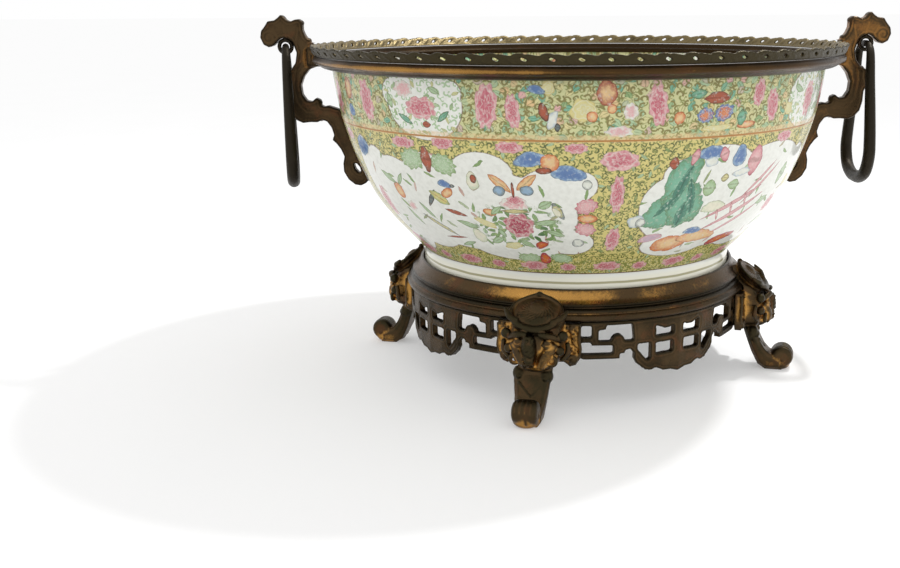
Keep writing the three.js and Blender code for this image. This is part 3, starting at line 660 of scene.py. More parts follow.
# The painted wall is laid out flat: millimetres round the bowl and up from its foot. Half of the wall
# is drawn, from the gap beside one handle to the gap beside the other, and the other half repeats it.
# What lies below WALL_CANVAS is the bowl's floor, whose middle is at FLOOR_CANVAS. A red line parts
# wall and border at LINE_UP.
CANVAS_R = 170.0
CANVAS_TURN = math.pi * CANVAS_R
CANVAS_LEFT = -105 / 180 * CANVAS_TURN
WALL_CANVAS = -200.0
FLOOR_CANVAS = -400.0
LINE_UP = 120.0

# Motifs as (kind, across, up, half width, half height, turn in degrees)
GROUND_MOTIFS = [
    ("blue", -186, 105, 12, 8, 24),
    ("peony", -210, 112, 11, 5, 0),
    ("peony", -184, 60, 7, 15, 0),
    ("peony", -186, 22, 9, 7, 0),
    ("peony", -130, 114, 12, 4.5, 0),
    ("peony", -96, 116, 9, 5, 0),
    ("peony", -51, 115, 10, 4.5, 0),
    ("peony", -10, 115, 8, 4, 0),
    ("star", 17, 106, 13.5, 8, 0),
    ("peony", 17, 81, 5.3, 16, 0),
    ("peony", 18, 41, 6.3, 13, 0),
    ("peony", 145, 115, 10, 4.5, 0),
    ("peony", 213, 96, 7, 14, 0),
    ("peony", 212, 50, 7, 12, 0),
    ("peony", -300, 100, 8, 10, 0),
    ("peony", -304, 40, 7, 11, 0),
]
BAND_MOTIFS = [("peony", 19 + 66.8 * k, 10, 14, 6, 0) for k in range(-5, 4)]
BAND_MOTIFS += [("peony", 50 + 66.8 * k, 9, 8, 5, 0) for k in range(-5, 3)]
BORDER_MOTIFS = [
    ("peony", -108, 139, 13, 8.5, 0),
    ("blush", -121, 151, 8.6, 6, 0),
    ("peony", -160, 141, 8, 16, 8),
    ("peony", -63, 142, 7.5, 17, -4),
    ("peony", -47, 139, 5, 12, 6),
    ("peony", 37, 143, 6.6, 14.5, 8),
    ("blush", 21, 139, 4.7, 5.7, 0),
    ("peony", 107, 148, 5.3, 10, -6),
    ("peony", 121, 139, 6, 13, 10),
    ("blush", 15, 126, 9, 4, 0),
    ("lantern", 7, 151, 6, 8.5, 0),
    ("orange", 10, 141, 3, 3.2, 0),
    ("yellow", -6, 140, 8.5, 8.2, 0),
    ("orange", -1, 136, 3.4, 3.6, 0),
    ("yellow", -26, 154, 4, 5.6, 0),
    ("blue", -33, 153, 6, 3.2, -14),
    ("cloud", -24, 134, 3.2, 7, -18),
    ("brown", -29, 139, 2.8, 6.6, 16),
    ("dark", -21, 129, 2, 3, 0),
    ("rust", 75, 146, 9.2, 4.2, 0),
    ("daisy", 68, 135, 6.4, 5.6, 0),
    ("daisy", 81, 136, 7.4, 6.2, 20),
    ("orange", 51, 134, 3.8, 4.6, 0),
    ("orange", 100, 127, 8, 2.6, 4),
    ("teal_leaf", 62, 149, 5.6, 3.2, 12),
    ("teal_leaf", 95, 132, 4.1, 5.5, 0),
    ("yellow", 78, 126, 13, 2.6, 3),
    ("teal_leaf", -92, 134, 6, 2.2, 40),
    ("teal_leaf", -122, 131, 6.5, 2.2, -30),
    ("leaf", -97, 151, 4.6, 2.2, -30),
    ("leaf", -134, 143, 2.4, 5.4, 14),
    ("rust", -105, 128, 3.4, 2.4, 0),
    ("peony", 168, 140, 8, 14, 0),
    ("leaf", 186, 133, 6, 2.4, 20),
    ("leaf", 150, 148, 6, 2.6, -25),
    ("yellow", 140, 135, 5, 5, 0),
    ("peony", 204, 140, 8, 12, 0),
    ("lantern", -186, 148, 6, 8, 0),
    ("blue", -186, 132, 6, 5, 0),
    ("peony", -214, 140, 9, 14, 0),
    ("peony", -251, 139, 14, 9, 0),
    ("leaf", -272, 133, 6, 2.4, 30),
    ("leaf", -232, 131, 6, 2.4, -30),
    ("daisy", -292, 140, 7, 6, 0),
]
FLOWER_PANEL_MOTIFS = [
    ("leaf", -31, 73, 5.4, 3.4, 30),
    ("grey", -22, 68, 3.2, 8, 30),
    ("pale", -23, 67, 2.6, 5, 30),
    ("orange", -71, 65, 5.5, 3, -10),
    ("yellow", -77, 55, 10, 3.4, -24),
    ("leaf", -31, 58, 10, 2.6, 10),
    ("leaf", -25, 48, 8, 2.6, -20),
    ("pale", -87, 41, 6, 8, 20),
    ("leaf", -93, 52, 9.5, 2.6, -16),
    ("leaf", -66, 67, 6, 2.4, 40),
    ("yellow", -60, 33, 8.8, 4, 12),
    ("red", -37, 35, 6, 4, 30),
    ("leaf", -72, 38, 8, 3, 30),
    ("leaf", -48, 36, 7, 2.6, -30),
    ("leaf", -66, 46, 5, 2.2, -60),
    ("blush", -52, 73, 11, 6.5, 0),
    ("peony", -51, 76, 7, 4, 0),
    ("olive", -52, 67, 11, 1.8, 0),
    ("rose_ball", -51, 54, 12.4, 12.6, 0),
    ("wing", -60, 89, 10, 3.4, -42),
    ("wing", -42, 90, 9.4, 3.2, 42),
    ("under_wing", -61, 83, 4.6, 4, 0),
    ("under_wing", -42, 84, 4.6, 4, 0),
    ("brown", -51.5, 84, 1.1, 6.5, 0),
    ("pale", -79, 89, 5, 8, 0),
    ("brown", -78, 91, 2.4, 3.4, 0),
    ("dark", -118, 72, 2.2, 9, -36),
    ("bird", -110, 73, 9.6, 4.2, -30),
    ("orange", -102, 78, 6.4, 3.4, 34),
    ("blue", -102, 85, 6.4, 3.2, -10),
    ("dark", -96, 84, 2.2, 1.4, 0),
    ("rust", -100, 62, 10, 2, -14),
    ("grey", -122, 47, 18, 2.2, -34),
    ("leaf", -128, 60, 10, 1.8, -50),
    ("rust", -112, 36, 12, 1.1, 6),
    ("leaf", -103, 30, 9, 2, 20),
    ("orange", -152, 74, 5, 7, 20),
    ("leaf", -160, 84, 9, 2.6, -30),
    ("leaf", -146, 84, 7, 2.2, 50),
    ("blush", -144, 62, 5, 5, 0),
    ("leaf", -148, 52, 10, 1.8, -60),
]
FLOWER_PANEL_FRAME = [
    ("fan", -125, 102, 12, 9, 12),
    ("fan", -99, 100, 11, 9, -12),
    ("rust", -112, 103, 4.8, 10, 0),
    ("blue", -38, 107, 12, 6, 8),
    ("blue", -15, 97, 12, 6.4, -6),
    ("orange", -26, 105, 6.4, 6.4, 0),
    ("brown", -30, 99, 5.4, 2.6, 0),
    ("pink_fan", -3, 72, 8.4, 6.4, 16),
    ("pink_fan", -3, 52, 8.4, 6.8, -16),
    ("orange", -2, 62, 7, 4, 0),
    ("curl", -3, 89, 3.4, 3.8, 0),
    ("curl", -8, 38, 5, 4.4, 0),
    ("fan", -50, 19, 12, 6, 8),
    ("fan", -22, 20, 11, 6, -8),
    ("red", -36, 19, 5, 8, 0),
]
GARDEN_PANEL_MOTIFS = [
    ("rock", 50, 64, 18, 13, 38),
    ("rock", 60, 88, 13, 24, -20),
    ("rock", 66, 70, 17, 21, 6),
    ("shade", 60, 84, 20, 3.6, 72),
    ("shade", 70, 76, 16, 3.2, 104),
    ("shade", 52, 70, 13, 2.4, 50),
    ("shade", 66, 62, 12, 4.4, 86),
    ("rust", 52, 103, 3.4, 4.7, 0),
    ("blue", 78, 109, 12, 5.6, 0),
    ("pink", 66, 107, 3, 6.4, -14),
    ("pink", 88, 107, 4, 6, 24),
    ("cloud", 79, 102, 6, 4, 0),
    ("blue", 102, 104, 6.5, 9, 0),
    ("pink", 118, 100, 7, 12, 0),
    ("leaf", 83, 82, 5.7, 6.9, 0),
    ("leaf", 104, 83, 6.1, 4.2, 0),
    ("olive", 94, 89, 3.7, 3.2, 0),
    ("pale", 93, 66, 12, 5.4, 0),
    ("pink", 112, 67, 30, 2, 24),
    ("pink", 118, 58, 32, 2.2, 27),
    ("pink", 124, 50, 26, 1.6, 30),
    ("pink", 132, 84, 20, 1.5, 44),
    ("pink", 136, 80, 22, 1.5, 44),
    ("pink", 100, 58, 1.2, 6, 24),
    ("pink", 112, 63, 1.2, 6, 24),
    ("pink", 124, 69, 1.2, 6, 24),
    ("cloud", 108, 92, 9, 3.4, 8),
    ("leaf", 150, 64, 8, 3, 20),
    ("leaf", 164, 84, 5, 9, -10),
    ("peony", 170, 58, 8, 9, 0),
    ("yellow", 182, 76, 5, 6, 0),
    ("leaf", 176, 42, 12, 2.4, 30),
    ("orange", 67, 33, 17, 9, 6),
    ("peach", 92, 38, 22, 7, 0),
    ("red", 126, 30, 20, 5, 10),
    ("cloud", 33, 58, 8, 6, 0),
    ("curl", 36, 57, 4, 4.4, 0),
    ("blue", 84, 45, 9, 4, 0),
    ("lilac", 48, 41, 11, 4.4, 12),
]
SMALL_PANEL_MOTIFS = [
    ("leaf", -268, 66, 10, 3, 30),
    ("leaf", -236, 68, 10, 3, -30),
    ("leaf", -262, 48, 9, 3, -34),
    ("leaf", -240, 48, 9, 3, 34),
    ("rose_ball", -251, 60, 11, 11, 0),
    ("wing", -258, 88, 8, 3, -40),
    ("wing", -244, 88, 8, 3, 40),
    ("under_wing", -257, 83, 4, 3.4, 0),
    ("under_wing", -245, 83, 4, 3.4, 0),
    ("brown", -251, 84, 1, 5.4, 0),
    ("yellow", -251, 37, 8, 4, 0),
    ("blush", -276, 82, 5, 5, 0),
    ("orange", -228, 84, 4, 5, 0),
]

# Reserves left white in the ground, each a cluster of lobes (across, up, half width, half height)
FLOWER_PANEL = [
    (-88, 62, 80, 38),
    (-150, 84, 24, 18),
    (-72, 96, 22, 15),
    (-112, 92, 26, 16),
    (-24, 84, 24, 17),
    (-8, 88, 12, 11),
    (-14, 38, 18, 13),
    (-60, 30, 40, 14),
    (-140, 38, 30, 18),
    (-168, 60, 22, 48),
    (-184, 84, 14, 30),
]
GARDEN_PANEL = [
    (118, 62, 84, 38),
    (86, 98, 30, 16),
    (58, 70, 25, 25),
    (62, 94, 16, 12),
    (140, 94, 40, 18),
    (180, 80, 20, 26),
    (76, 32, 34, 14),
    (150, 34, 36, 15),
]
SMALL_PANEL = [
    (-251, 62, 34, 34),
    (-251, 90, 20, 14),
    (-272, 76, 16, 14),
    (-230, 76, 16, 14),
    (-251, 36, 22, 12),
]
# Bunches of small leaves behind the flowers in the panels (across, up, half width, half height)
BOUQUETS = [(-52, 52, 36, 22), (-251, 56, 26, 20)]
BORDER_RESERVES = [
    (-107, 141, 29, 24),
    (-124, 148, 16, 12),
    (-92, 150, 14, 10),
    (168, 141, 30, 22),
    (-251, 141, 26, 20),
]


# Kinds of motif: the enamels of its heart and its edge, the heart's share, and its petals. No petals
# make a round dab, and -1 makes a pointed leaf.
KINDS = {
    "peony": ("rose", "blush", 0.4, 8),
    "blush": ("blush", "white", 0.4, 7),
    "star": ("rose", "blush", 0.35, 7),
    "rose_ball": ("deep_rose", "blush", 0.55, 8),
    "daisy": ("orange", "blue", 0.25, 9),
    "fan": ("mint", "leaf", 0.45, 11),
    "pink_fan": ("blush", "rose", 0.5, 9),
    "lantern": ("peach", "rust", 0.3, 0),
    "yellow": ("straw", "gold", 0.5, 5),
    "orange": ("peach", "orange", 0.3, 0),
    "blue": ("blue", "sky", 0.5, 3),
    "brown": ("rust", "umber", 0.4, 0),
    "rust": ("rust", "umber", 0.6, -1),
    "teal_leaf": ("teal", "deep_leaf", 0.4, -1),
    "leaf": ("mint", "leaf", 0.4, -1),
    "dark_leaf": ("leaf", "deep_leaf", 0.4, -1),
    "olive": ("straw", "olive", 0.3, -1),
    "red": ("orange", "deep_rose", 0.3, 3),
    "pale": ("ivory", "mint", 0.7, 3),
    "wing": ("peach", "orange", 0.4, -1),
    "under_wing": ("sky", "slate", 0.4, 0),
    "dark": ("slate", "ink", 0.2, -1),
    "grey": ("straw", "slate", 0.3, -1),
    "rock": ("teal", "deep_leaf", 0.6, 4),
    "shade": ("deep_teal", "teal", 0.6, -1),
    "pink": ("blush", "rose", 0.4, -1),
    "peach": ("peach", "orange", 0.6, 3),
    "lilac": ("lilac", "blush", 0.5, 3),
    "cloud": ("white", "sky", 0.7, 4),
    "bird": ("gold", "leaf", 0.5, -1),
    "curl": ("white", "slate", 0.55, 0),
}
LAYERS = 8
LINE = 0.45  # width of a motif's outline, in millimetres
FACE_REACH = 1.4  # how far a face reaches from its middle, in millimetres


def lay_canvas(mesh, up_of):
    """Lays the walls out flat, in millimetres. Returns each corner's place there and its face."""
    points = numbers(mesh.vertices, "co", 3) / MM
    corner_points = numbers(mesh.loops, "vertex_index", kind=np.int32)
    sizes = numbers(mesh.polygons, "loop_total", kind=np.int32)
    corner_faces = np.repeat(np.arange(len(sizes)), sizes)
    centres = numbers(mesh.polygons, "center", 3)
    azimuth = np.arctan2(points[:, 0], -points[:, 1])[corner_points]
    middle = np.arctan2(centres[:, 0], -centres[:, 1])[corner_faces]
    swing = (azimuth - middle + np.pi) % (2 * np.pi) - np.pi
    up = up_of(points[corner_points], centres[corner_faces] / MM)
    places = np.stack([(middle + swing) * CANVAS_R, up], 1)
    # The bowl's floor is drawn as seen from above, below the wall's canvas.
    flat = up < WALL_CANVAS
    places[flat] = points[corner_points][flat][:, :2] + (0, FLOOR_CANVAS)
    mesh.uv_layers.new(name="canvas").data.foreach_set("uv", places.ravel())
    return places, corner_faces


def folded(across):
    """The place in the drawn half that a place round the bowl repeats."""
    return (across - CANVAS_LEFT) % CANVAS_TURN + CANVAS_LEFT


def reserve_distance(places):
    """Millimetres from the edge of the nearest white panel, less than nothing inside it."""
    nearest = np.full(len(places), 50.0)
    for across, up, width, height in FLOWER_PANEL + GARDEN_PANEL + SMALL_PANEL + BORDER_RESERVES:
        far = np.hypot((places[:, 0] - across) / width, (places[:, 1] - up) / height)
        nearest = np.minimum(nearest, (far - 1) * min(width, height))
    return nearest


def paint_motifs(mesh, places, corner_faces, chosen, motifs):
    """Gives each face its place in the motifs that cover it, in layers that are painted in turn."""
    count = len(mesh.polygons)
    sizes = np.bincount(corner_faces, minlength=count)
    centres = np.stack([np.bincount(corner_faces, places[:, k], count) / sizes for k in (0, 1)], 1)
    fold = np.where(centres[:, 1] > WALL_CANVAS, folded(centres[:, 0]) - centres[:, 0], 0)
    centres[:, 0] += fold
    corners = places + np.stack([fold[corner_faces], np.zeros(len(places))], 1)
    depth = np.zeros(count, int)
    spots = [np.tile((9.0, 9.0, 0.0), (len(places), 1)) for k in range(LAYERS)]
    enamels = [[np.zeros((count, 4)) for k in range(LAYERS)] for part in (0, 1)]
    for kind, across, up, width, height, turn in motifs:
        heart, edge, share, petals = KINDS[kind]
        cosine, sine = math.cos(math.radians(turn)), math.sin(math.radians(turn))
        axes = np.array([(cosine, -sine), (sine, cosine)])
        offset = np.abs((centres - (across, up)) @ axes)
        reach = np.maximum(offset - FACE_REACH, 0) / (width, height)
        covered = (np.hypot(*reach.T) < 1.04) & chosen
        if not covered.any():
            continue
        layer = depth[covered].max()
        if layer >= LAYERS:
            raise RuntimeError(f"{kind} at {across}, {up} needs layer {layer}")
        depth[covered] = layer + 1
        inside = covered[corner_faces]
        local = (corners[inside] - (across, up)) @ axes / (width, height)
        spots[layer][inside] = np.column_stack([local, np.full(len(local), float(petals))])
        enamels[0][layer][covered] = (*ink(heart), share)
        enamels[1][layer][covered] = (*ink(edge), LINE / min(width, height))
    for k in range(LAYERS):
        spot = mesh.attributes.new(f"spot_{k}", "FLOAT_VECTOR", "CORNER")
        spot.data.foreach_set("vector", spots[k].ravel())
        for part, name in enumerate(("heart", "edge")):
            colour = mesh.attributes.new(f"{name}_{k}", "FLOAT_COLOR", "FACE")
            colour.data.foreach_set("color", enamels[part][k].ravel())


# The flowers of the bowl's floor
MEDALLION = [
    ("rose_ball", 0, -400, 15, 15, 0),
    ("peony", -24, -388, 10, 9, 0),
    ("peony", 22, -412, 10, 9, 0),
    ("blush", 20, -382, 8, 8, 0),
    ("blush", -20, -416, 8, 8, 0),
]
for k in range(9):
    around = (27 * math.cos(0.7 * k), FLOOR_CANVAS + 27 * math.sin(0.7 * k))
    MEDALLION.append(("leaf" if k % 2 else "dark_leaf", *around, 9, 3, 40 * k + 20))
for k in range(6):
    around = (92 * math.cos(1.0472 * k), FLOOR_CANVAS + 92 * math.sin(1.0472 * k))
    MEDALLION.append(("peony", *around, 9, 8, 0))
# In the order in which they are painted
MOTIFS = GROUND_MOTIFS + FLOWER_PANEL_MOTIFS + FLOWER_PANEL_FRAME + SMALL_PANEL_MOTIFS
MOTIFS += GARDEN_PANEL_MOTIFS + BAND_MOTIFS + BORDER_MOTIFS + MEDALLION


class Painting(Shader):
    """Enamels laid one over another on the glaze, in the order in which they are painted."""

    def __init__(self, name):
        super().__init__(name)
        self.solid = self.coordinates()
        self.shake = self.vector("SUBTRACT", self.noise(self.solid, 160.0, 2.0, out=1), (0.5, 0.5, 0.5))
        flat = self.node("UVMap", {"uv_map": "canvas"}, out=0)
        inputs = {0: self.shake, 1: (3.0, 3.0, 0), 2: flat}
        self.canvas = self.node("VectorMath", {"operation": "MULTIPLY_ADD"}, inputs)
        self.up = self.node("SeparateXYZ", {}, {0: flat}).other("Y")
        self.mottle = self.noise(self.solid, 420.0, 3.0, 0.6) - 0.5
        self.broken = self.step(self.mottle, 0.16, -0.06, 0.25, 1.0)
        self.colour = None

    def lay(self, mask, enamel):
        self.colour = self.mix(mask, self.colour, enamel)

    def attribute(self, name, out="Vector"):
        return self.node("Attribute", {"attribute_name": name}, out=out)

    def motifs(self, layer):
        """One layer of motifs: flowers with frilled petals, pointed leaves and round dabs."""
        spot = self.attribute(f"spot_{layer}")
        inputs = {0: self.shake, 1: (0.42, 0.42, 0), 2: spot}
        spot = self.node("VectorMath", {"operation": "MULTIPLY_ADD"}, inputs)
        parts = self.node("SeparateXYZ", {}, {0: spot})
        petals = parts.other("Z")
        y = parts.other("Y")
        leaf = petals < -0.5
        far = self.length(self.vector("MULTIPLY", spot, (1, 1, 0)))
        angle = self.maths("MULTIPLY_ADD", far, 0.45, self.maths("ARCTAN2", y, parts))
        wave = self.maths("COSINE", angle * petals)
        bloom = far / self.maths("MULTIPLY_ADD", wave, 0.07, 0.9)
        blade = self.maths("MULTIPLY_ADD", parts, parts, abs(y))
        reach = self.maths("MULTIPLY_ADD", leaf, blade - bloom, bloom) + self.mottle * 0.16
        petal = self.maths("MULTIPLY_ADD", wave, 0.13, bloom) + self.mottle * 0.22
        rows = self.step(self.maths("PINGPONG", petal, 0.19), 0.075, 0.01) * (petals > 4.5)
        vein = self.step(abs(y), 0.2, 0.06) * leaf
        heart = self.attribute(f"heart_{layer}", "Color")
        share = heart.other("Alpha")
        edge = self.attribute(f"edge_{layer}", "Color")
        rim = edge.other("Alpha")
        blend = self.step(reach + self.mottle * 1.5, share * 0.6 + 0.05, share + 0.7)
        colour = self.mix(blend, heart, edge)
        pale = self.maths("MAXIMUM", rows * 0.48, self.step(self.mottle, 0.02, 0.3, 0.0, 0.7))
        colour = self.mix(pale, colour, ink("white"))
        line = (reach + rim > 0.98) * self.step(petals, 3.4, 3.6, 0.75, 0.4)
        lines = self.maths("MAXIMUM", vein * 0.6, line)
        colour = self.darken(lines * self.broken, colour, (0.42, 0.34, 0.3))
        self.lay(self.step(reach, 1.01, 0.96), colour)

    def darken(self, mask, colour, shade):
        return self.mix(mask, colour, shade, "MULTIPLY")

    def scatter(self, pitch, shift=0.0, spread=0.85):
        """Cells strewn over the canvas: a place turned at random in each, and three random numbers."""
        inputs = {"Vector": self.canvas, "Location": (shift, shift, 0)}
        inputs["Scale"] = (1 / pitch, 1 / pitch, 1)
        place = self.node("Mapping", {"vector_type": "POINT"}, inputs)
        inputs = {"Vector": place, "Scale": 1.0, "Randomness": spread}
        cell = self.node("TexVoronoi", {"voronoi_dimensions": "2D"}, inputs, "Position")
        draws = self.node("SeparateColor", {}, {0: cell.other("Color")})
        inputs = {"Vector": self.vector("SUBTRACT", place, cell), "Angle": draws * 6.283}
        return self.node("VectorRotate", {"rotation_type": "Z_AXIS"}, inputs), draws

    def strew_leaves(self, region, pitch, shift, enamels, share=1.0, size=(0.56, 0.3)):
        """Leaves at random angles, each in one of a few enamels, with a dark edge and a vein."""
        local, draws = self.scatter(pitch, shift)
        parts = self.node("SeparateXYZ", {}, {0: self.vector("DIVIDE", local, (size[0], size[1], 1))})
        side = abs(parts.other("Y"))
        reach = self.maths("MULTIPLY_ADD", parts, parts, side)
        stops = [(k / len(enamels), ink(name)) for k, name in enumerate(enamels)]
        colour = self.node("ValToRGB", {"stops": stops}, {0: draws.other("Green")})
        lines = self.maths("MAXIMUM", self.step(reach, 0.6, 0.85), self.step(side, 0.16, 0.02)) * 0.8
        mask = self.step(reach, 1.03, 0.93) * region
        if share < 1.0:
            mask = mask * (draws.other("Blue") < share)
        colour = self.mix(self.step(self.mottle, 0.0, 0.25, 0.0, 0.45), colour, ink("straw"))
        self.lay(mask, self.darken(lines * self.broken, colour, (0.4, 0.42, 0.3)))

    def strew_curls(self, region, pitch, line, shift=0.0):
        """Small open rings, as a scroll ground is drawn."""
        local, draws = self.scatter(pitch, shift, 0.7)
        far = self.length(local)
        parts = self.node("SeparateXYZ", {}, {0: local})
        ring = self.step(abs(far - 0.3), 0.14, 0.06)
        gap = self.step(parts + parts.other("Y") * 0.5, 0.22, 0.12)
        self.lay(ring * gap * region, line if isinstance(line, Wire) else ink(line))


def painted(name, white, part):
    """One part of the painting: the wall in its scroll ground, the leafy border, or the inside."""
    s = Painting(name)
    cloud = s.noise(s.solid, 24.0, 3.0)
    s.colour = s.mix(cloud, white, [c * 0.95 for c in white])
    panel = s.attribute("reserve", "Fac")
    inside = s.step(panel, 0.1, -0.1)
    outline = s.step(abs(panel), 0.5, 0.2, 0.0, 0.7) * s.broken
    if part == "wall":
        band = s.step(s.up, 17.8, 17.2)
        s.colour = s.mix(band, ink("gold"), ink("sage"))
        s.strew_curls(1.0, 4.6, s.mix(band, ink("moss"), ink("straw")))
        s.strew_curls(1.0, 3.9, s.mix(band, ink("sage"), ink("gold")), 55.0)
        s.strew_leaves(1.0, 7.0, 31.0, ("leaf", "sage", "mint"), 0.35, (0.4, 0.16))
        s.lay(s.step(s.up, 1.4, 0.9), ink("umber"))
        s.lay(inside, white)
        s.strew_leaves(inside, 9.5, 20.0, ("leaf", "mint", "blush", "leaf"), 0.24, (0.6, 0.12))
        for across, up, width, height in BOUQUETS:
            around = s.vector("SUBTRACT", s.canvas, (across, up, 0))
            around = s.vector("DIVIDE", around, (width, height, 1))
            bunch = s.step(s.length(around) + s.mottle * 0.5, 1.0, 0.8)
            s.strew_leaves(bunch, 5.6, across, ("leaf", "mint", "deep_leaf", "leaf"), 0.92, (0.8, 0.3))
        s.lay(outline, ink("umber"))
    elif part == "border":
        s.colour = ink("pistachio")
        s.strew_curls(1.0, 4.4, "sage", 3.0)
        greens = ("leaf", "mint", "mint", "straw", "pistachio", "teal")
        s.strew_leaves(1.0, 6.2, 0.0, greens, 0.85, (0.66, 0.36))
        s.strew_leaves(1.0, 7.8, 40.0, ("gold", "blush", "mint", "peach", "straw"), 0.45, (0.4, 0.34))
        s.strew_curls(1.0, 5.4, "olive", 77.0)
        s.lay(inside, white)
        s.strew_curls(inside, 4.8, "mint", 9.0)
        s.strew_leaves(inside, 5.8, 60.0, ("mint", "leaf", "mint", "pistachio"), 0.5, (0.5, 0.2))
        s.lay(outline, ink("umber"))
    else:
        s.strew_leaves(1.0, 13.0, 12.0, ("leaf", "rose", "mint", "orange"), 0.3, (0.3, 0.12))
        ring = abs(s.length(s.vector("SUBTRACT", s.canvas, (0, FLOOR_CANVAS, 0))) - 62.0)
        s.lay(s.step(ring, 4.0, 3.6), ink("straw"))
        s.lay(s.step(abs(ring - 3.6), 0.9, 0.5), ink("ochre"))
    for layer in range(LAYERS):
        s.motifs(layer)
    s.lay(s.step(abs(s.up - LINE_UP - 1.2), 3.4, 1.6, 0.0, 0.6) * s.broken, ink("peach"))
    s.lay(s.step(abs(s.up - LINE_UP), 0.75, 0.45), ink("ochre"))
    thick = s.noise(s.solid, 300.0, 3.0)
    s.colour = s.darken(s.step(thick, 0.35, 0.75, 0.0, 0.5), s.colour, (0.8, 0.8, 0.78))
    relief = s.bump(thick * 0.4 + s.noise(s.solid, 90.0, 2.0), 0.0002, 0.4)
    hue = s.node("SeparateColor", {"mode": "HSV"}, {0: s.colour})
    satin = s.step(hue.other("Green"), 0.1, 0.4, 0.1, 0.2)
    return s.finish(Base_Color=s.colour, Roughness=satin, Normal=relief)


def plain_porcelain(name, white):
    """Glazed porcelain, with a painted line round the foot ring and a faint unevenness."""
    s = Shader(name)
    place = s.coordinates()
    cloud = s.noise(place, 24.0, 3.0)
    colour = s.mix(cloud, white, [c * 0.93 for c in white])
    parts = s.node("SeparateXYZ", {}, {0: place})
    out = s.length(s.vector("MULTIPLY", place, (1, 1, 0)))
    outside = out > (FOOT_R - 4) * MM
    below = s.step(parts.other("Z"), FOOT_BOTTOM + 0.016, FOOT_BOTTOM + 0.012) * outside
    colour = s.mix(below * 0.6, colour, ink("ivory"))
    wander = s.noise(place, 40.0) * 0.0012
    height = abs(parts.other("Z") - wander - (FOOT_BOTTOM + 0.0094))
    colour = s.mix(s.step(height, 0.0012, 0.0005, 0.0, 0.8) * outside, colour, ink("olive"))
    relief = s.bump(s.noise(place, 90.0, 2.0), 0.0002, 0.3)
    return s.finish(Base_Color=colour, Roughness=s.step(cloud, 0.2, 0.8, 0.1, 0.18), Normal=relief)


# Materials are made once and shared.
FINISHES = {}


def finish_named(name):
    """A material by its name, made when it is first asked for."""
    colours = bpy.context.scene.bowl_colours
    glaze, brown, gilt = [tuple(c) for c in (colours.glaze, colours.bronze, colours.gilt)]
    porcelains = {
        "glazed_porcelain": lambda: plain_porcelain(name, glaze),
        "painted_wall": lambda: painted(name, glaze, "wall"),
        "painted_border": lambda: painted(name, glaze, "border"),
        # The inside gets a darker copy of the glaze: painted shade that holds down the light thrown about
        # inside the bowl.
        "painted_inside": lambda: painted(name, tuple(0.86 * part for part in glaze), "inside"),
    }
    castings = {
        "rim_bronze": {
            "dark": (0.03, 0.018, 0.008),
            "brown": (0.08, 0.043, 0.015),
            "rough": 0.32,
            "grit": 0.25,
        },
        "cast_bronze": {"dark": (0.03, 0.02, 0.01), "gilt": (0.42, 0.19, 0.045), "gilding": 0.46},
        # The legs get a weaker painted dark reflection along their edges.
        "mask_bronze": {"dark": (0.034, 0.027, 0.013), "share": 0.05, "ridge": 0.35},
        "stand_bronze": {"dark": (0.026, 0.02, 0.011), "rough": 0.3, "grit": 0.25},
        "fret_bronze": {"dark": (0.03, 0.022, 0.011), "share": -0.35},
        # The gallery's inner face is painted paler, partly as painted light.
        "gallery_bronze": {"dark": (0.045, 0.036, 0.018), "share": -0.55, "within": (0.18, 0.14, 0.07)},
        "black_bronze": {
            "dark": (0.022, 0.017, 0.01),
            "brown": (0.065, 0.048, 0.027),
            "gilt": brown,
            "share": -0.3,
            "metal": 0.8,
            "rough": 0.45,
        },
        "screw_brass": {"dark": (0.2, 0.13, 0.05), "brown": (0.4, 0.27, 0.1)},
    }
    if name not in FINISHES:
        if name in castings:
            FINISHES[name] = bronze(name, **{"brown": brown, "gilt": gilt, **castings[name]})
        else:
            FINISHES[name] = porcelains[name]()
    return FINISHES[name]


def turned_ring(name, profile, gilding):
    """A ring turned from a profile in millimetres, marked with its hollows and its tone: gilding, painted
    highlight and painted shade.
    """
    profile = even(profile + profile[:1], PROFILE_PITCH)[:-1]
    ring = smooth(revolve(name, profile, bpy.context.scene.bowl_sizes.segments))
    return mark_tone(mark_hollows(ring, 4), gilding)


def place_round(casting, turns, look, stem, finish):
    """Places castings from one mould round the stand, each for its own CAD node."""
    for side, turn in turns.items():
        node = stem + side
        mesh = turned(casting, turn)
        place(look + node, mesh, BODY, "patinated_bronze", finish_named(finish), node)


# The pitch of the points on a turned ring's profile, in millimetres
PROFILE_PITCH = 0.8

# The bowl's outer face, as shares of the way out and up from the foot to the lip.
BODY_SHARES = [
    (0, 0),
    (0.089, 0.042),
    (0.194, 0.097),
    (0.361, 0.184),
    (0.551, 0.302),
    (0.705, 0.443),
    (0.843, 0.619),
    (0.941, 0.797),
    (1, 1),
]
FOOT_R = 123.9
FOOT_HEIGHT = 17.0
LIP_ROUND = 2.5
WALL = 5.6


def body_curve():
    """The outer face in millimetres, from the foot to the lip's rounding."""
    low = FOOT_BOTTOM / MM + FOOT_HEIGHT
    high = LIP_TOP / MM - LIP_ROUND
    foot = FOOT_R + 0.8
    lip = LIP_R / MM
    places = [(foot + out * (lip - foot), low + up * (high - low)) for out, up in BODY_SHARES]
    return spline(places, 9)


def body_radius(height):
    curve = body_curve()
    return float(np.interp(height, [z for r, z in curve], [r for r, z in curve]))


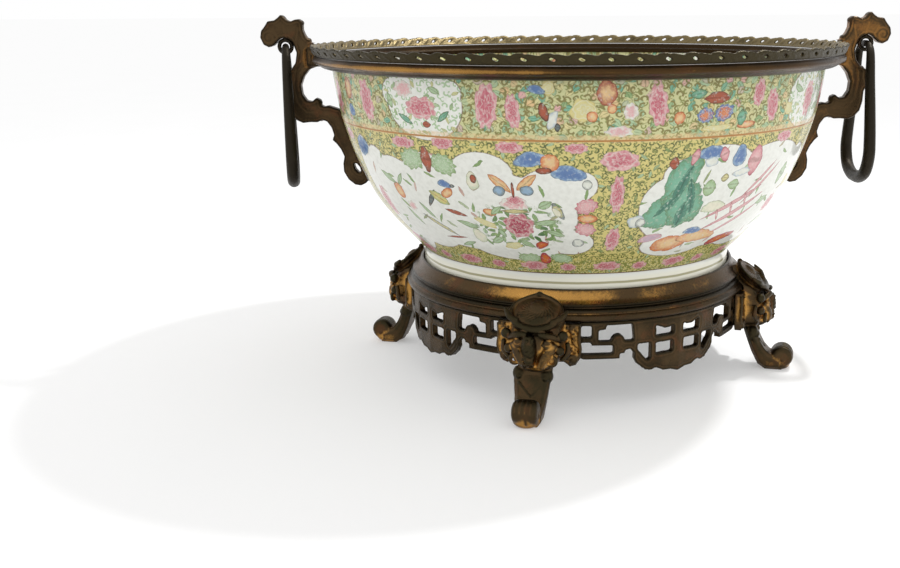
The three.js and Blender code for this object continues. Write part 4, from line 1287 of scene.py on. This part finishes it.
class MakePorcelain(bpy.types.Operator):
    """Throws the porcelain bowl and paints it"""

    bl_idname = "bowl.make_porcelain"
    bl_label = "Porcelain bowl"

    def execute(self, context):
        segments = context.scene.bowl_sizes.segments
        bottom = FOOT_BOTTOM / MM
        lip = LIP_R / MM
        floor = bottom + 19.5
        foot = [(0, bottom + 12), (105, bottom + 12)]
        foot += arc((109.5, bottom + 8), 4, 90, 0, 5)
        foot += [(114.6, bottom + 1.2)]
        foot += arc((116.6, bottom + 1.4), 1.4, 180, 270, 4)
        foot += arc((FOOT_R - 1.9, bottom + 1.9), 1.9, 270, 360, 5)
        foot += [(FOOT_R, bottom + 6), (FOOT_R - 0.2, bottom + 12), (FOOT_R, FOOT_HEIGHT + bottom - 1.5)]
        rim = arc((lip - WALL / 2, LIP_TOP / MM - WALL / 2), WALL / 2, 20, 160, 8)
        inner = []
        for height in np.linspace(LIP_TOP / MM - 6, floor + 45, 12):
            inner.append((body_radius(height) - WALL, height))
        turn = [
            inner[-1],
            (body_radius(floor + 25) - 1.9 * WALL, floor + 25),
            (FOOT_R - 6.7, floor + 9.5),
            (FOOT_R - 38.7, floor + 2),
            (0, floor),
        ]
        inner = even(inner[:-1] + spline(turn, 8), 2.4)
        wall = even(body_curve(), LINE_UP / 60)
        mesh = revolve("porcelain", foot + wall[:-1] + rim + inner, segments, closed=False)
        smooth(mesh)
        outer = numbers(mesh.polygons, "normal", 3)
        centres = numbers(mesh.polygons, "center", 3)
        away = (outer * centres * (1, 1, 0)).sum(1) / np.hypot(centres[:, 0], centres[:, 1])
        high = centres[:, 2] < LIP_TOP - WALL / 2 * MM
        outside = (away > 0) & (centres[:, 2] > FOOT_BOTTOM + FOOT_HEIGHT * MM) & high
        inward = (away < 0) | (outer[:, 2] > 0.5)
        inside = inward & (centres[:, 2] > (floor - 0.5) * MM) & high & ~outside
        walls_top = np.hypot(*np.diff(np.array(wall), axis=0).T).sum()

        def up_of(points, centres):
            radius = np.hypot(centres[:, 0], centres[:, 1])
            within = radius < np.interp(centres[:, 2], [z for r, z in wall], [r for r, z in wall]) - 2
            heights = []
            for curve in (wall, inner[::-1]):
                steps = np.hypot(*np.diff(np.array(curve), axis=0).T)
                lengths = np.concatenate([[0], np.cumsum(steps)])
                lengths += walls_top - lengths[-1]
                heights.append(np.interp(points[:, 2], [z for r, z in curve], lengths))
            up = np.where(within, heights[1], heights[0])
            return np.where(within & (radius < 112), FLOOR_CANVAS, up)

        places, corner_faces = lay_canvas(mesh, up_of)
        drawn = np.stack([folded(places[:, 0]), places[:, 1]], 1)
        distance = mesh.attributes.new("reserve", "FLOAT", "CORNER")
        off_wall = places[:, 1] < WALL_CANVAS
        distance.data.foreach_set("value", np.where(off_wall, 50, reserve_distance(drawn)))
        paint_motifs(mesh, places, corner_faces, outside | inside, MOTIFS)
        glazed = finish_named("glazed_porcelain")
        place("painted_porcelain", mesh, BODY, "porcelain", glazed, "porcelain_bowl")
        for part in ("painted_wall", "painted_inside", "painted_border"):
            mesh.materials.append(finish_named(part))
        height = np.bincount(corner_faces, places[:, 1]) / np.bincount(corner_faces)
        border = (outside | inside) & (height > LINE_UP)
        kinds = np.where(border, 3, outside + 2 * inside).astype(np.int32)
        mesh.polygons.foreach_set("material_index", kinds)
        return {"FINISHED"}


class MakeCollar(bpy.types.Operator):
    """Turns the moulded collar that clasps the lip"""

    bl_idname = "bowl.make_collar"
    bl_label = "Rim collar"

    def execute(self, context):
        bead = COLLAR_R / MM
        low = COLLAR_BOTTOM / MM + 0.2
        ledge = LEDGE / MM
        wall = body_radius(low) + 0.3
        channel = LIP_TOP / MM + 0.3
        inside = LIP_R / MM - WALL - 0.3
        profile = [(wall, low + 0.2), (wall + 0.6, low - 0.1)]
        profile += spline([(bead - 10.4, low - 0.2), (bead - 6.6, low + 0.8), (bead - 4.2, low + 2.6)], 4)
        profile += arc((bead - 2.6, ledge - 3.0), 2.6, -68, 66, 12)
        profile += [(bead - 1.5, ledge - 0.25), (bead - 1.9, ledge)]
        profile += [(bead - 9, ledge), (bead - 9.6, ledge - 0.4), (bead - 10.2, channel + 0.6)]
        profile += [(inside - 1.2, channel + 0.3), (inside - 1.5, channel - 0.2), (inside - 1.5, low + 2)]
        profile += [(inside - 1.1, low + 1.5), (inside - 0.5, low + 1.6)]
        profile += [(inside, channel), (LIP_R / MM + 0.3, channel)]
        mesh = turned_ring("collar", profile, self.gilding)
        finish = finish_named("rim_bronze")
        place("moulded_collar", mesh, BODY, "patinated_bronze", finish, "rim_collar")
        return {"FINISHED"}

    def gilding(self, points):
        """A gilt streak along the roll with a painted highlight in it, strongest at the front left,
        between darker edges.
        """
        x, y, z = points.T
        height = z - LEDGE / MM
        streak = np.exp(-(((height + 3.7) / 2.1) ** 2))
        # Painted highlight: the streak is made brightest towards the front left.
        front = np.exp(-(((np.arctan2(x, -y) + 0.62) / 0.5) ** 2))
        outer = np.hypot(x, y) > COLLAR_R / MM - 8
        return np.where(outer, streak * (1.0 + 1.3 * front) - 0.72, -0.9)


class MakeGallery(bpy.types.Operator):
    """Casts the pierced gallery on the collar"""

    bl_idname = "bowl.make_gallery"
    bl_label = "Rim gallery"

    def execute(self, context):
        low = LEDGE / MM + 0.3
        tall = GALLERY_TOP / MM - low
        crest = GALLERY_R / MM
        leaves = context.scene.bowl_sizes.leaves
        forms = [cad_copy("rim_gallery")]

        def on_leaf(share, up):
            angle = 2 * math.pi * share / leaves
            r = crest - 1.3 - 3.2 * (1 - up)
            return (r * math.cos(angle), r * math.sin(angle), low + up * tall)

        for k in range(leaves):
            blade = [(0.66, 0.9), (0.86, 0.72), (1.06, 0.4), (1.2, 0.14)]
            forms.append(rod([on_leaf(k + x, up) for x, up in blade], [0.7, 1.5, 1.75, 1.3], 8, 3))
            crest_bead = [(0.12, 0.86), (0.3, 0.9), (0.5, 0.94)]
            forms.append(rod([on_leaf(k + x, up) for x, up in crest_bead], [1.1, 1.45, 0.9], 8, 2))
        mesh = mark_hollows(melted("gallery", forms, 0.0006, 1))
        mark_tone(mesh, lambda points: 0.35 * np.exp(-(((points[:, 2] - low - tall) / 1.2) ** 2)) - 0.3)
        finish = finish_named("gallery_bronze")
        place("pierced_gallery", mesh, BODY, "grey_bronze", finish, "rim_gallery")
        return {"FINISHED"}


# The eyes and the drop rings, whose centre line is given as shares of its half width and depth
EYE_R = 228.6
EYE_Z = LEDGE / MM + 5.7
LOOP_HALF = 29.2
LOOP_DEPTH = 105.4
LOOP_TURN = math.radians(10.3)
LOOP_SHARES = [
    (0, 0),
    (0.274, 0.011),
    (0.445, 0.047),
    (0.534, 0.114),
    (0.63, 0.266),
    (0.822, 0.493),
    (0.973, 0.693),
    (1, 0.816),
    (0.788, 0.934),
    (0.377, 0.991),
]


# The right handle's tone is set higher, so lighter and more gilt, than the left one's.
HANDLE_GILT = {"right": 0.22, "left": -0.24}


class MakeHandles(bpy.types.Operator):
    """Casts the two scroll handles with their eyes and drop rings"""

    bl_idname = "bowl.make_handles"
    bl_label = "Handles"

    def execute(self, context):
        finish = finish_named("cast_bronze")
        black = finish_named("black_bronze")
        casting = self.casting(context.scene.bowl_sizes.skin)
        gilding = [(208, 0, 245, 12, 0.9), (241, 0, 258, 8, 0.6), (224, 0, 268, 16, 0.35)]
        gilding += [(222, 0, 208, 22, -0.25)]
        for side, turn in SIDES.items():
            node = "handle_" + side
            mesh = casting.copy()
            mark_tone(mesh, lambda points: HANDLE_GILT[side] + soft_spots(points, gilding))
            place("scroll_" + node, turned(mesh, turn), BODY, "patinated_bronze", finish, node)
            node = "eye_" + side
            place("round_" + node, turned(self.eye(), turn), BODY, "dark_bronze", black, node)
            node = "ring_" + side
            loop = turned(self.loop(LOOP_TURN if side == "left" else 0.0), turn)
            place("drop_loop_" + side, loop, "drop_ring_" + side, "dark_bronze", black, node)
        return {"FINISHED"}

    def casting(self, voxel):
        """The right handle: a groove inside its outline, curls in its head and knobs on its scroll."""
        forms = [cad_copy("handle_right")]
        knobs = [(205, 211.2, 3.0), (229, 275.4, 2.3), (215.2, 272.4, 2.3)]
        knobs += [(240, 270, 2.4), (210, 259, 2.2), (203.6, 198.8, 2.4)]
        knobs += [(219.6, 198.6, 2.6), (226.4, 235, 2.4), (193.2, 182.6, 2.2)]
        for x, z, size in knobs:
            forms.append(blob((x, 0, z), (size, 4.4, size)))
        mesh = melted("handle", forms, voxel, 3)
        facing = np.abs(numbers(mesh.vertices, "normal", 3)[:, 1])
        groove_along_edges(mesh, facing, 2.3, 1.0, 0.42)
        curl = []
        for k in range(24):
            angle = math.radians(200 - 26 * k)
            reach = 6.2 - 0.22 * k
            curl.append((240.4 + reach * math.cos(angle), 261.4 + reach * math.sin(angle)))
        lines = [curl, [(217, 250), (219.5, 260), (217.5, 269)], [(222, 250), (226.5, 260), (229, 271)]]
        lines += [[(226, 247), (231, 256), (237, 268)], [(211.5, 262), (214.5, 264), (216, 269)]]
        lines += [[(216, 244), (222, 236), (223.6, 226), (221.6, 212), (214, 204), (205, 204)]]
        lines += [[(213, 240), (218, 233), (219.6, 224), (217, 213)]]
        lines += [[(198, 197), (193, 187), (188, 177)]]
        sides = []
        for line in lines:
            for y in (-5, 5):
                sides.append([(x, y, z) for x, z in line])
        engrave(mesh, sides, 1.1, 0.36)
        return mark_hollows(mesh)

    def eye(self):
        """The small ring under the head, on its shank."""
        r, z = EYE_R, EYE_Z
        path = [(r + 4.9 * math.cos(0.5236 * k), 0, z + 4.9 * math.sin(0.5236 * k)) for k in range(12)]
        circle = rod(path, [1.6], 12, 4, closed=True)
        shank = rod([(r, 0, z + 4.4), (r, 0, z + 12.4)], [1.7, 1.4, 1.3], 12, 6)
        return mark_hollows(melted("eye", [circle, shank], 0.0003, 3))

    def loop(self, turn):
        """A drop ring: a long loop whose wire swells towards the bottom."""
        half = [(out * LOOP_HALF, -down * LOOP_DEPTH) for out, down in LOOP_SHARES]
        path = half + [(0, -LOOP_DEPTH)] + [(-y, z) for y, z in half[:0:-1]]
        line = spline([(0, y, z) for y, z in path + path[:1]], 6)[:-1]
        radii = [2.4 + 2.5 * (max(0.0, -z) / LOOP_DEPTH) ** 0.45 for x, y, z in line]
        mesh = rod(line, radii + radii[:1], 20, 1, closed=True)
        mesh.transform(Matrix.Translation((EYE_R * MM, 0, EYE_Z * MM)) @ Matrix.Rotation(turn, 4, "Z"))
        return mark_hollows(smooth(mesh, 80))


class MakeStandRing(bpy.types.Operator):
    """Turns the moulded ring that carries the bowl"""

    bl_idname = "bowl.make_stand_ring"
    bl_label = "Stand ring"

    def execute(self, context):
        low = STAND_HEIGHT / MM
        top = RING_TOP / MM
        out = STAND_R / MM - 2.4
        lip = FOOT_R + 1.2
        inner = FOOT_R - 12.4
        ledge = top - 6.6
        profile = arc((out + 0.1, low + 2.9), 2.6, -88, 84, 12)
        profile += [(out - 0.2, low + 6.2), (out + 0.1, low + 6.7), (out + 0.2, low + 7.5)]
        profile += [(out - 0.1, low + 8.3), (out - 0.8, low + 8.7), (out - 2.4, low + 9.3)]
        profile += [(out - 2.7, low + 10), (out - 2.2, low + 10.5), (out - 1.5, low + 11.2)]
        profile += [(out - 1.7, low + 12)]
        profile += spline([(out - 3.3, low + 12.9), (out - 5.6, low + 14.9), (out - 7.5, low + 18)], 5)
        profile += [(lip + 2.2, top - 1.6), (lip + 2.2, top - 0.9), (lip + 1.7, top - 0.2)]
        profile += [(lip + 1.1, top), (lip + 0.2, top - 0.4), (lip, ledge)]
        profile += [(inner + 0.4, ledge), (inner, ledge - 0.5)]
        profile += [(inner, low + 2), (inner + 5, low)]
        mesh = turned_ring("stand", profile, self.gilding)
        finish = finish_named("stand_bronze")
        place("moulded_stand_ring", mesh, BODY, "patinated_bronze", finish, "stand_ring")
        return {"FINISHED"}

    def gilding(self, points):
        """Gilding worn bright in the hollow above the front leg, with the groove darkened as painted
        shade.
        """
        x, y, z = points.T
        height = z - STAND_HEIGHT / MM
        away = np.arctan2(x, -y) - STAND_TURN
        hollow = np.exp(-(((height - 17) / 4.8) ** 2))
        front = np.exp(-((away / 0.32) ** 2)) + 0.15 * np.exp(-(((away - 0.75) / 0.4) ** 2))
        # Painted shade: the groove is darkened where it lies in shade.
        groove = np.exp(-(((height - 9.6) / 1.9) ** 2))
        bead = np.exp(-(((height - 3.5) / 2.6) ** 2))
        return hollow * (0.2 + 1.1 * front) - groove * 0.9 + bead * (0.1 + 0.35 * front) - 0.15


# The outer face of the legs' wings, in millimetres from the stand's middle
WING_R = 141.4


class MakeLegs(bpy.types.Operator):
    """Models one beast-mask leg and casts the four of them"""

    bl_idname = "bowl.make_legs"
    bl_label = "Mask legs"

    def execute(self, context):
        voxel = context.scene.bowl_sizes.skin
        core = cad_copy("leg_right", -STAND_TURN)
        self.trim(core)
        forms = [core] + self.crown() + self.face() + self.wings() + self.shin()
        casting = melted("leg", forms, voxel, 2)
        engrave(casting, self.strokes(), 1.0, 0.7)
        collar = [(152.6, -11, 25.6), (154.8, -6, 20.4), (157.2, -1.8, 16.8)]
        collar += [(154.6, 2, 20.2), (152.6, 5, 24)]
        engrave(casting, [collar], 1.4, -1.1)
        keep_above_table(casting)
        mark_hollows(casting)
        mark_tone(casting, lambda points: soft_spots(points, LEG_TONES))
        place_round(casting, LEG_TURNS, "mask_", "leg_", "mask_bronze")
        return {"FINISHED"}

    def trim(self, core):
        """Draws the block's snout, cap and toe in under the forms that go on it, and tapers its shin."""
        x, y, z = (numbers(core.vertices, "co", 3) / MM).T
        face = np.clip((z - 34) / 4, 0, 1) * np.clip((68 - z) / 3, 0, 1)
        drawn = x - face * np.maximum(x - 150, 0) * 0.55 - 2.4 * (z < 24) * (x > 168)
        proud = (x - 144.5) * 0.656 + (z - 75.5) * 0.755
        sunk = 3.4 * np.clip((proud + 8) / 6, 0, 1) * (z > 64)
        low = np.clip((36 - z) / 30, 0, 1) * (x > 138)
        wide = 0.34 * (low > 0) * np.clip((z - 4) / 22, 0, 1) * np.clip((y + 18) / 6, 0, 1)
        across = np.where(y > 0, y * (1 - 0.3 * low), y * (1 + wide))
        made = np.stack([drawn - 0.656 * sunk, across, z - 0.755 * sunk], 1)
        core.vertices.foreach_set("co", (made * MM).ravel())

    def on_cap(self, across, along, proud=0.0):
        """A point on the leaning cap: across it, down its slope, and proud of it."""
        return (144.5 + 0.755 * along + 0.656 * proud, across, 75.5 - 0.656 * along + 0.755 * proud)

    def crown(self):
        """The leaf-carved cap above the brow: a rolled rim, curls, an oval boss and two ears."""
        forms = [blob(self.on_cap(0, -0.5, -1.4), (14.5, 18.2, 4.4), (0, 41, 0))]
        rim = [(-18.8, -1, 1.2), (-17, 6, 1.2), (-10, 12, 0.8), (0, 14.6, 0.4)]
        rim += [(10, 12, 0.8), (17, 6, 1.2), (18.4, -1, 1.2)]
        rim = [self.on_cap(*spot) for spot in rim]
        forms.append(rod(rim, [1.5, 2.0, 2.6, 2.9, 2.6, 2.0, 1.5], 12))
        edge = [(-18.8, -1, 1), (-15.8, -7.5, 0.8), (-8, -12.6, 0.8), (0, -14.6, 1.4)]
        edge += [(8, -12.6, 0.8), (15.8, -7.5, 0.8), (18.4, -1, 1)]
        edge = [self.on_cap(*spot) for spot in edge]
        forms.append(rod(edge, [1.4, 1.2, 1.2, 1.5, 1.2, 1.2, 1.4]))
        forms.append(blob(self.on_cap(0.5, -4, 2.0), (5.4, 5.4, 2.6), (0, 41, 0)))
        forms.append(blob(self.on_cap(0, -14.8, 1.6), (2.2, 2.6, 2.2)))
        for side in (-1, 1):
            forms.append(scroll(self.on_cap(9.6 * side, 4, 1.6), 3.8, 1.0, 49, 0, side))
            ear = [(12, 9, 2), (18.4, 5.5, 2.6), (23, -1.5, 3)]
            ear = [self.on_cap(across * side, along, proud) for across, along, proud in ear]
            forms.append(rod(ear, [2.2, 2.5, 0.8]))
        return forms

    def face(self):
        """The mask: a blunt snout, brows, eyes, cheeks with pierced curls, and the jaw's knobs."""
        snout = [(158.2, -3.2, 62.4), (158.4, -2.9, 56.4), (158.6, -2.2, 50)]
        snout += [(158.8, -1.7, 44), (158.8, -1.4, 39.6)]
        forms = [rod(snout, [3.4, 5.5, 5.2, 3.8, 2.4], 14)]
        forms.append(blob((150.5, 0, 51.5), (8, 17.5, 13)))
        forms.append(blob((151.4, 0, 40.5), (7.4, 11, 6.2)))
        for side in (-1, 1):
            brow = [(158.4, 4.4, 63.4), (159, 9.4, 63.4), (156, 15, 61.6), (151.4, 19, 58)]
            forms.append(rod(to_side(brow, side), [1.6, 2.4, 2.2, 1.4]))
            forms.append(blob((157.2, 10.4 * side, 57.8), (2.8, 3.1, 2.5)))
            lid = [(158.4, 6.8, 56.8), (159.4, 10.4, 54.8), (156.8, 14.6, 56.6)]
            forms.append(rod(to_side(lid, side), [0.8, 1.1, 0.8]))
            cheek = [(154, 15.4, 55.8), (157, 11.4, 51.4), (158.4, 8, 45.8), (157.4, 5.2, 39.4)]
            forms.append(rod(to_side(cheek, side), [2.2, 3.6, 3.8, 2.8]))
            curl = []
            for k in range(10):
                angle = 0.6283 * k
                curl.append((156.6, (13.5 + 3.1 * math.cos(angle)) * side, 44.4 + 3.1 * math.sin(angle)))
            forms.append(rod(curl, [1.5], 10, 3, closed=True))
            forms.append(blob((152.4, 20.4 * side, 62), (3.6, 3.7, 3.8)))
            forms.append(blob((153, 18.4 * side, 51.2), (3.3, 3.5, 3.5)))
            ruff = [(149, 23, 56.4), (148.2, 23.2, 48.6), (150, 18.8, 43)]
            forms.append(rod(to_side(ruff, side), [1.6, 2.1, 1.5]))
        for y, z in ((-11.8, 31), (7.6, 30)):
            forms.append(blob((147.4, y, z), (4.8, 5.2, 5.8)))
            forms.append(blob((151.6, y, z - 0.8), (1.5, 2.4, 2.4)))
        return forms + self.stipple()

    def stipple(self):
        """A rough skin of small grains on the snout and the brow."""
        draw = random.Random(11)
        forms = []
        for _ in range(70):
            z = draw.uniform(41, 61)
            y = draw.uniform(-6.4, 1.4)
            x = 164.1 - ((z - 52) / 10) ** 2 - (y + 2.6) ** 2 * 0.12
            forms.append(blob((x, y, z), [draw.uniform(0.5, 0.9)] * 3))
        return forms

    def wings(self):
        """The textured plates behind the mask, edged with a roll that ends in a curl."""
        forms = []
        draw = random.Random(7)
        for side in (-1, 1):
            edge = [(30.2, 65), (29.4, 56), (30.4, 48), (29, 42.5)]
            path = [(math.sqrt(WING_R**2 - y * y), y, z) for y, z in edge]
            forms.append(rod(to_side(path, side), [0.9, 1.3, 1.3, 1.1]))
            forms.append(scroll((139.6, 25 * side, 40.6), 5.0, 1.3, 0, 10 * side, -side))
            for _ in range(80):
                y = draw.uniform(18, 29.4)
                z = draw.uniform(42, 65)
                grain = (math.sqrt((WING_R - 0.3) ** 2 - y * y), y * side, z)
                forms.append(blob(grain, [draw.uniform(0.7, 1.2)] * 3))
        return forms

    def shin(self):
        """The shin with its pointed collar, running down to a foot rolled up at the toe."""
        forms = [blob((165, -2, 4.6), (13, 9.2, 5.6))]
        toe = [(171.4, y, 10.8) for y in (-11.4, -9.8, -6, 3, 6.2, 7.4)]
        forms.append(rod(toe, [5, 7.9, 9.0, 9.1, 7.9, 5], 32))
        forms.append(blob((171, -2, 4.4), (7.4, 9.6, 5.4)))
        return forms

    def strokes(self):
        """Engraved lines: two rows of feathers round the cap's boss, wrinkles, and flutes on the toe."""
        lines = []
        for low, high, count in ((6.8, 10.6, 22), (11.2, 16.4, 34)):
            for k in range(count):
                stroke = []
                for t in (0, 0.5, 1):
                    reach = low + (high - low) * t
                    angle = 2 * math.pi * (k + 1.3 * t) / count
                    across = 0.5 + reach * 1.06 * math.cos(angle)
                    stroke.append((across, -4 + reach * 0.86 * math.sin(angle)))
                if all(abs(across) < 16.5 and -11.5 < along < 9.5 for across, along in stroke):
                    lines.append([self.on_cap(across, along, 2.6) for across, along in stroke])
        for side in (-1, 1):
            for k in range(3):
                far = 4 + 1.5 * k
                wrinkle = [(159.6, far * side, 59 + 1.6 * k)]
                lines.append(wrinkle + [(160.4, (far + 1.6) * side, 53.6 - 1.2 * k)])
            lines.append([(156.5, 4.6 * side, 38.2), (155.4, 9 * side, 40.6), (154.6, 12.4 * side, 40)])
        for y in (-8.4, -4.6, -0.8, 3):
            lines.append([(172, y, 20), (177.8, y, 17.6), (180.4, y, 12.6)])
        lines.append([(165.2, y, 12.4) for y in (-10, 0, 7)])
        return lines


# Where a leg is gilt (more than nothing) or dark: x, y, z, reach and amount
LEG_TONES = [
    (145, 0, 76, 15, -0.5),
    (143, 0.5, 79, 5, 0.3),
    (156, 0, 67, 9, -0.6),
    (161, -2.6, 51, 8, -1.4),
    (157, 8, 46, 7.5, 1.3),
    (157, -8.5, 46, 7.5, 1.1),
    (156, 13, 58, 7, 0.8),
    (156, -13, 58, 7, 0.8),
    (158, 3, 39, 5, 0.9),
    (153, 21, 62, 4.5, -1.0),
    (153, -21, 62, 4.5, -1.0),
    (153, 18.5, 51, 4, -0.8),
    (146, 9, 29.5, 7, -0.9),
    (146, -12.6, 30.5, 7, -0.9),
    (140, 26, 52, 12, 0.6),
    (140, -26, 52, 12, 0.6),
    (136, 16, 60, 10, 0.7),
    (136, -16, 60, 10, 0.7),
    (156, 0, 22, 12, -0.6),
    (172, 0, 18, 8, -0.7),
    (176, 0, 2, 9, 0.9),
    (163, 0, 1, 10, 1.0),
    (143, 0.5, 81, 4, 0.7),
]


class MakeAprons(bpy.types.Operator):
    """Cuts the four fretwork aprons"""

    bl_idname = "bowl.make_aprons"
    bl_label = "Fretwork aprons"

    def execute(self, context):
        voxel = context.scene.bowl_sizes.skin
        first = APRON_TURNS["front_right"]
        casting = melted("apron", [cad_copy("apron_front_right", -first)], voxel, 2)
        self.slim(casting, 0.55)
        groove_along_edges(casting, self.facing(casting), 2.0, 0.8, 0.45)
        mark_hollows(casting)
        place_round(casting, APRON_TURNS, "fretwork_", "apron_", "fret_bronze")
        return {"FINISHED"}

    def facing(self, mesh):
        """How squarely each point faces away from the stand's middle or towards it."""
        points = numbers(mesh.vertices, "co", 3)
        outward = points[:, :2] / np.hypot(points[:, 0], points[:, 1])[:, None]
        return np.abs((numbers(mesh.vertices, "normal", 3)[:, :2] * outward).sum(1))

    def slim(self, mesh, depth):
        """Files the edges of the bars and the windows back."""
        top = numbers(mesh.vertices, "co", 3)[:, 2] > STAND_HEIGHT - 0.004
        pressed(mesh, np.where(top, 0, depth * (1 - self.facing(mesh))))


class MakeScrews(bpy.types.Operator):
    """Gives the screws and bolts their brass"""

    bl_idname = "bowl.make_screws"
    bl_label = "Screws"

    def execute(self, context):
        brass = finish_named("screw_brass")
        for name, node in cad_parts.items():
            if "screw" in name or "bolt" in name:
                node.data.materials.clear()
                node.data.materials.append(brass)
        return {"FINISHED"}


# The stage, in metres, and the camera's turns in degrees: yaw, pitch, roll, and from looking down to level
FLOOR_HALF = 30.0
FLOOR_GLOW = 0.3
LAMP_PLACE = (0.504, 0.189, 1.063)
LAMP_SIZE = 0.08
CAMERA_PLACE = (-0.0523, -0.86338, 0.28454)
CAMERA_TURNS = ((-0.8075, "Z"), (-15.5137, "X"), (0.326, "Y"), (90, "X"))
CAMERA_SHIFT = (-0.0857, 0.0198)


class MakeStage(bpy.types.Operator):
    """Lays the floor and sets the lamps and the camera"""

    bl_idname = "bowl.make_stage"
    bl_label = "Stage"

    def execute(self, context):
        settings = context.scene.bowl_stage
        self.lay_floor()
        self.light(context, settings)
        self.aim(context, settings)
        return {"FINISHED"}

    def lay_floor(self):
        corners = [(x * FLOOR_HALF, y * FLOOR_HALF, 0) for x, y in ((-1, -1), (1, -1), (1, 1), (-1, 1))]
        floor = link("floor", mesh_of("floor", corners, [(0, 1, 2, 3)]))
        s = Shader("white_paper")
        place = s.coordinates()
        colour = s.mix(s.noise(place, 6.0), (0.69, 0.69, 0.69), (0.71, 0.71, 0.71))
        paper = s.node("BsdfDiffuse", {}, {"Color": colour})
        glow = s.node("Emission", {}, {"Color": (1, 1, 1, 1), "Strength": s.seen() * FLOOR_GLOW})
        s.node("OutputMaterial", {}, {"Surface": s.node("AddShader", {}, {0: paper, 1: glow})})
        floor.data.materials.append(s.owner)

    def light(self, context, settings):
        """An even tent of light, which looks white, and one soft lamp for the shadow."""
        s = Shader("tent", "worlds")
        strength = settings.daylight + s.seen() * (1 - settings.daylight)
        tent = s.node("Background", {}, {"Color": (1, 1, 1, 1), "Strength": strength})
        s.node("OutputWorld", {}, {"Surface": tent})
        context.scene.world = s.owner
        lamp = bpy.data.lights.new("lamp", "AREA")
        lamp.shape = "DISK"
        lamp.size = LAMP_SIZE
        lamp.energy = settings.lamp
        piece = link("lamp", lamp)
        piece.location = LAMP_PLACE
        piece.rotation_euler = Vector(LAMP_PLACE).to_track_quat("Z", "Y").to_euler()
        context.scene.view_settings.view_transform = "Standard"

    def aim(self, context, settings):
        """The camera at the photograph's angle, with the small shift that its framing needs."""
        lens = bpy.data.cameras.new("camera")
        lens.lens = settings.lens
        lens.sensor_width = 36.0
        lens.shift_x, lens.shift_y = CAMERA_SHIFT
        lens.clip_start = 0.05
        lens.clip_end = 100.0
        camera = link("camera", lens)
        aim = Matrix.Translation(CAMERA_PLACE)
        for degrees, axis in CAMERA_TURNS:
            aim = aim @ Matrix.Rotation(math.radians(degrees), 4, axis)
        camera.matrix_world = aim
        context.scene.camera = camera


class BowlPanel(bpy.types.Panel):
    """Lists the bowl's settings and steps"""

    bl_idname = "VIEW3D_PT_mounted_bowl"
    bl_label = "Mounted bowl"
    bl_space_type = "VIEW_3D"
    bl_region_type = "UI"
    bl_category = "Mounted bowl"

    def draw(self, context):
        groups = (context.scene.bowl_sizes, context.scene.bowl_colours, context.scene.bowl_stage)
        for group in groups:
            for name in group.__annotations__:
                self.layout.prop(group, name)
        for step in STEPS:
            self.layout.operator(step.bl_idname)


STEPS = (
    MakePorcelain,
    MakeCollar,
    MakeGallery,
    MakeHandles,
    MakeStandRing,
    MakeLegs,
    MakeAprons,
    MakeScrews,
    MakeStage,
)
GROUPS = {"bowl_sizes": BowlSizes, "bowl_colours": BowlColours, "bowl_stage": StageSettings}


def register():
    for group in GROUPS.values():
        bpy.utils.register_class(group)
    for name, group in GROUPS.items():
        setattr(bpy.types.Scene, name, bpy.props.PointerProperty(type=group))
    for step in STEPS:
        bpy.utils.register_class(step)
    bpy.utils.register_class(BowlPanel)


def unregister():
    bpy.utils.unregister_class(BowlPanel)
    for step in reversed(STEPS):
        bpy.utils.unregister_class(step)
    for name, group in GROUPS.items():
        delattr(bpy.types.Scene, name)
        bpy.utils.unregister_class(group)


def main():
    register()
    for step in STEPS:
        group, name = step.bl_idname.split(".")
        getattr(getattr(bpy.ops, group), name)()


if __name__ == "__main__":
    main()
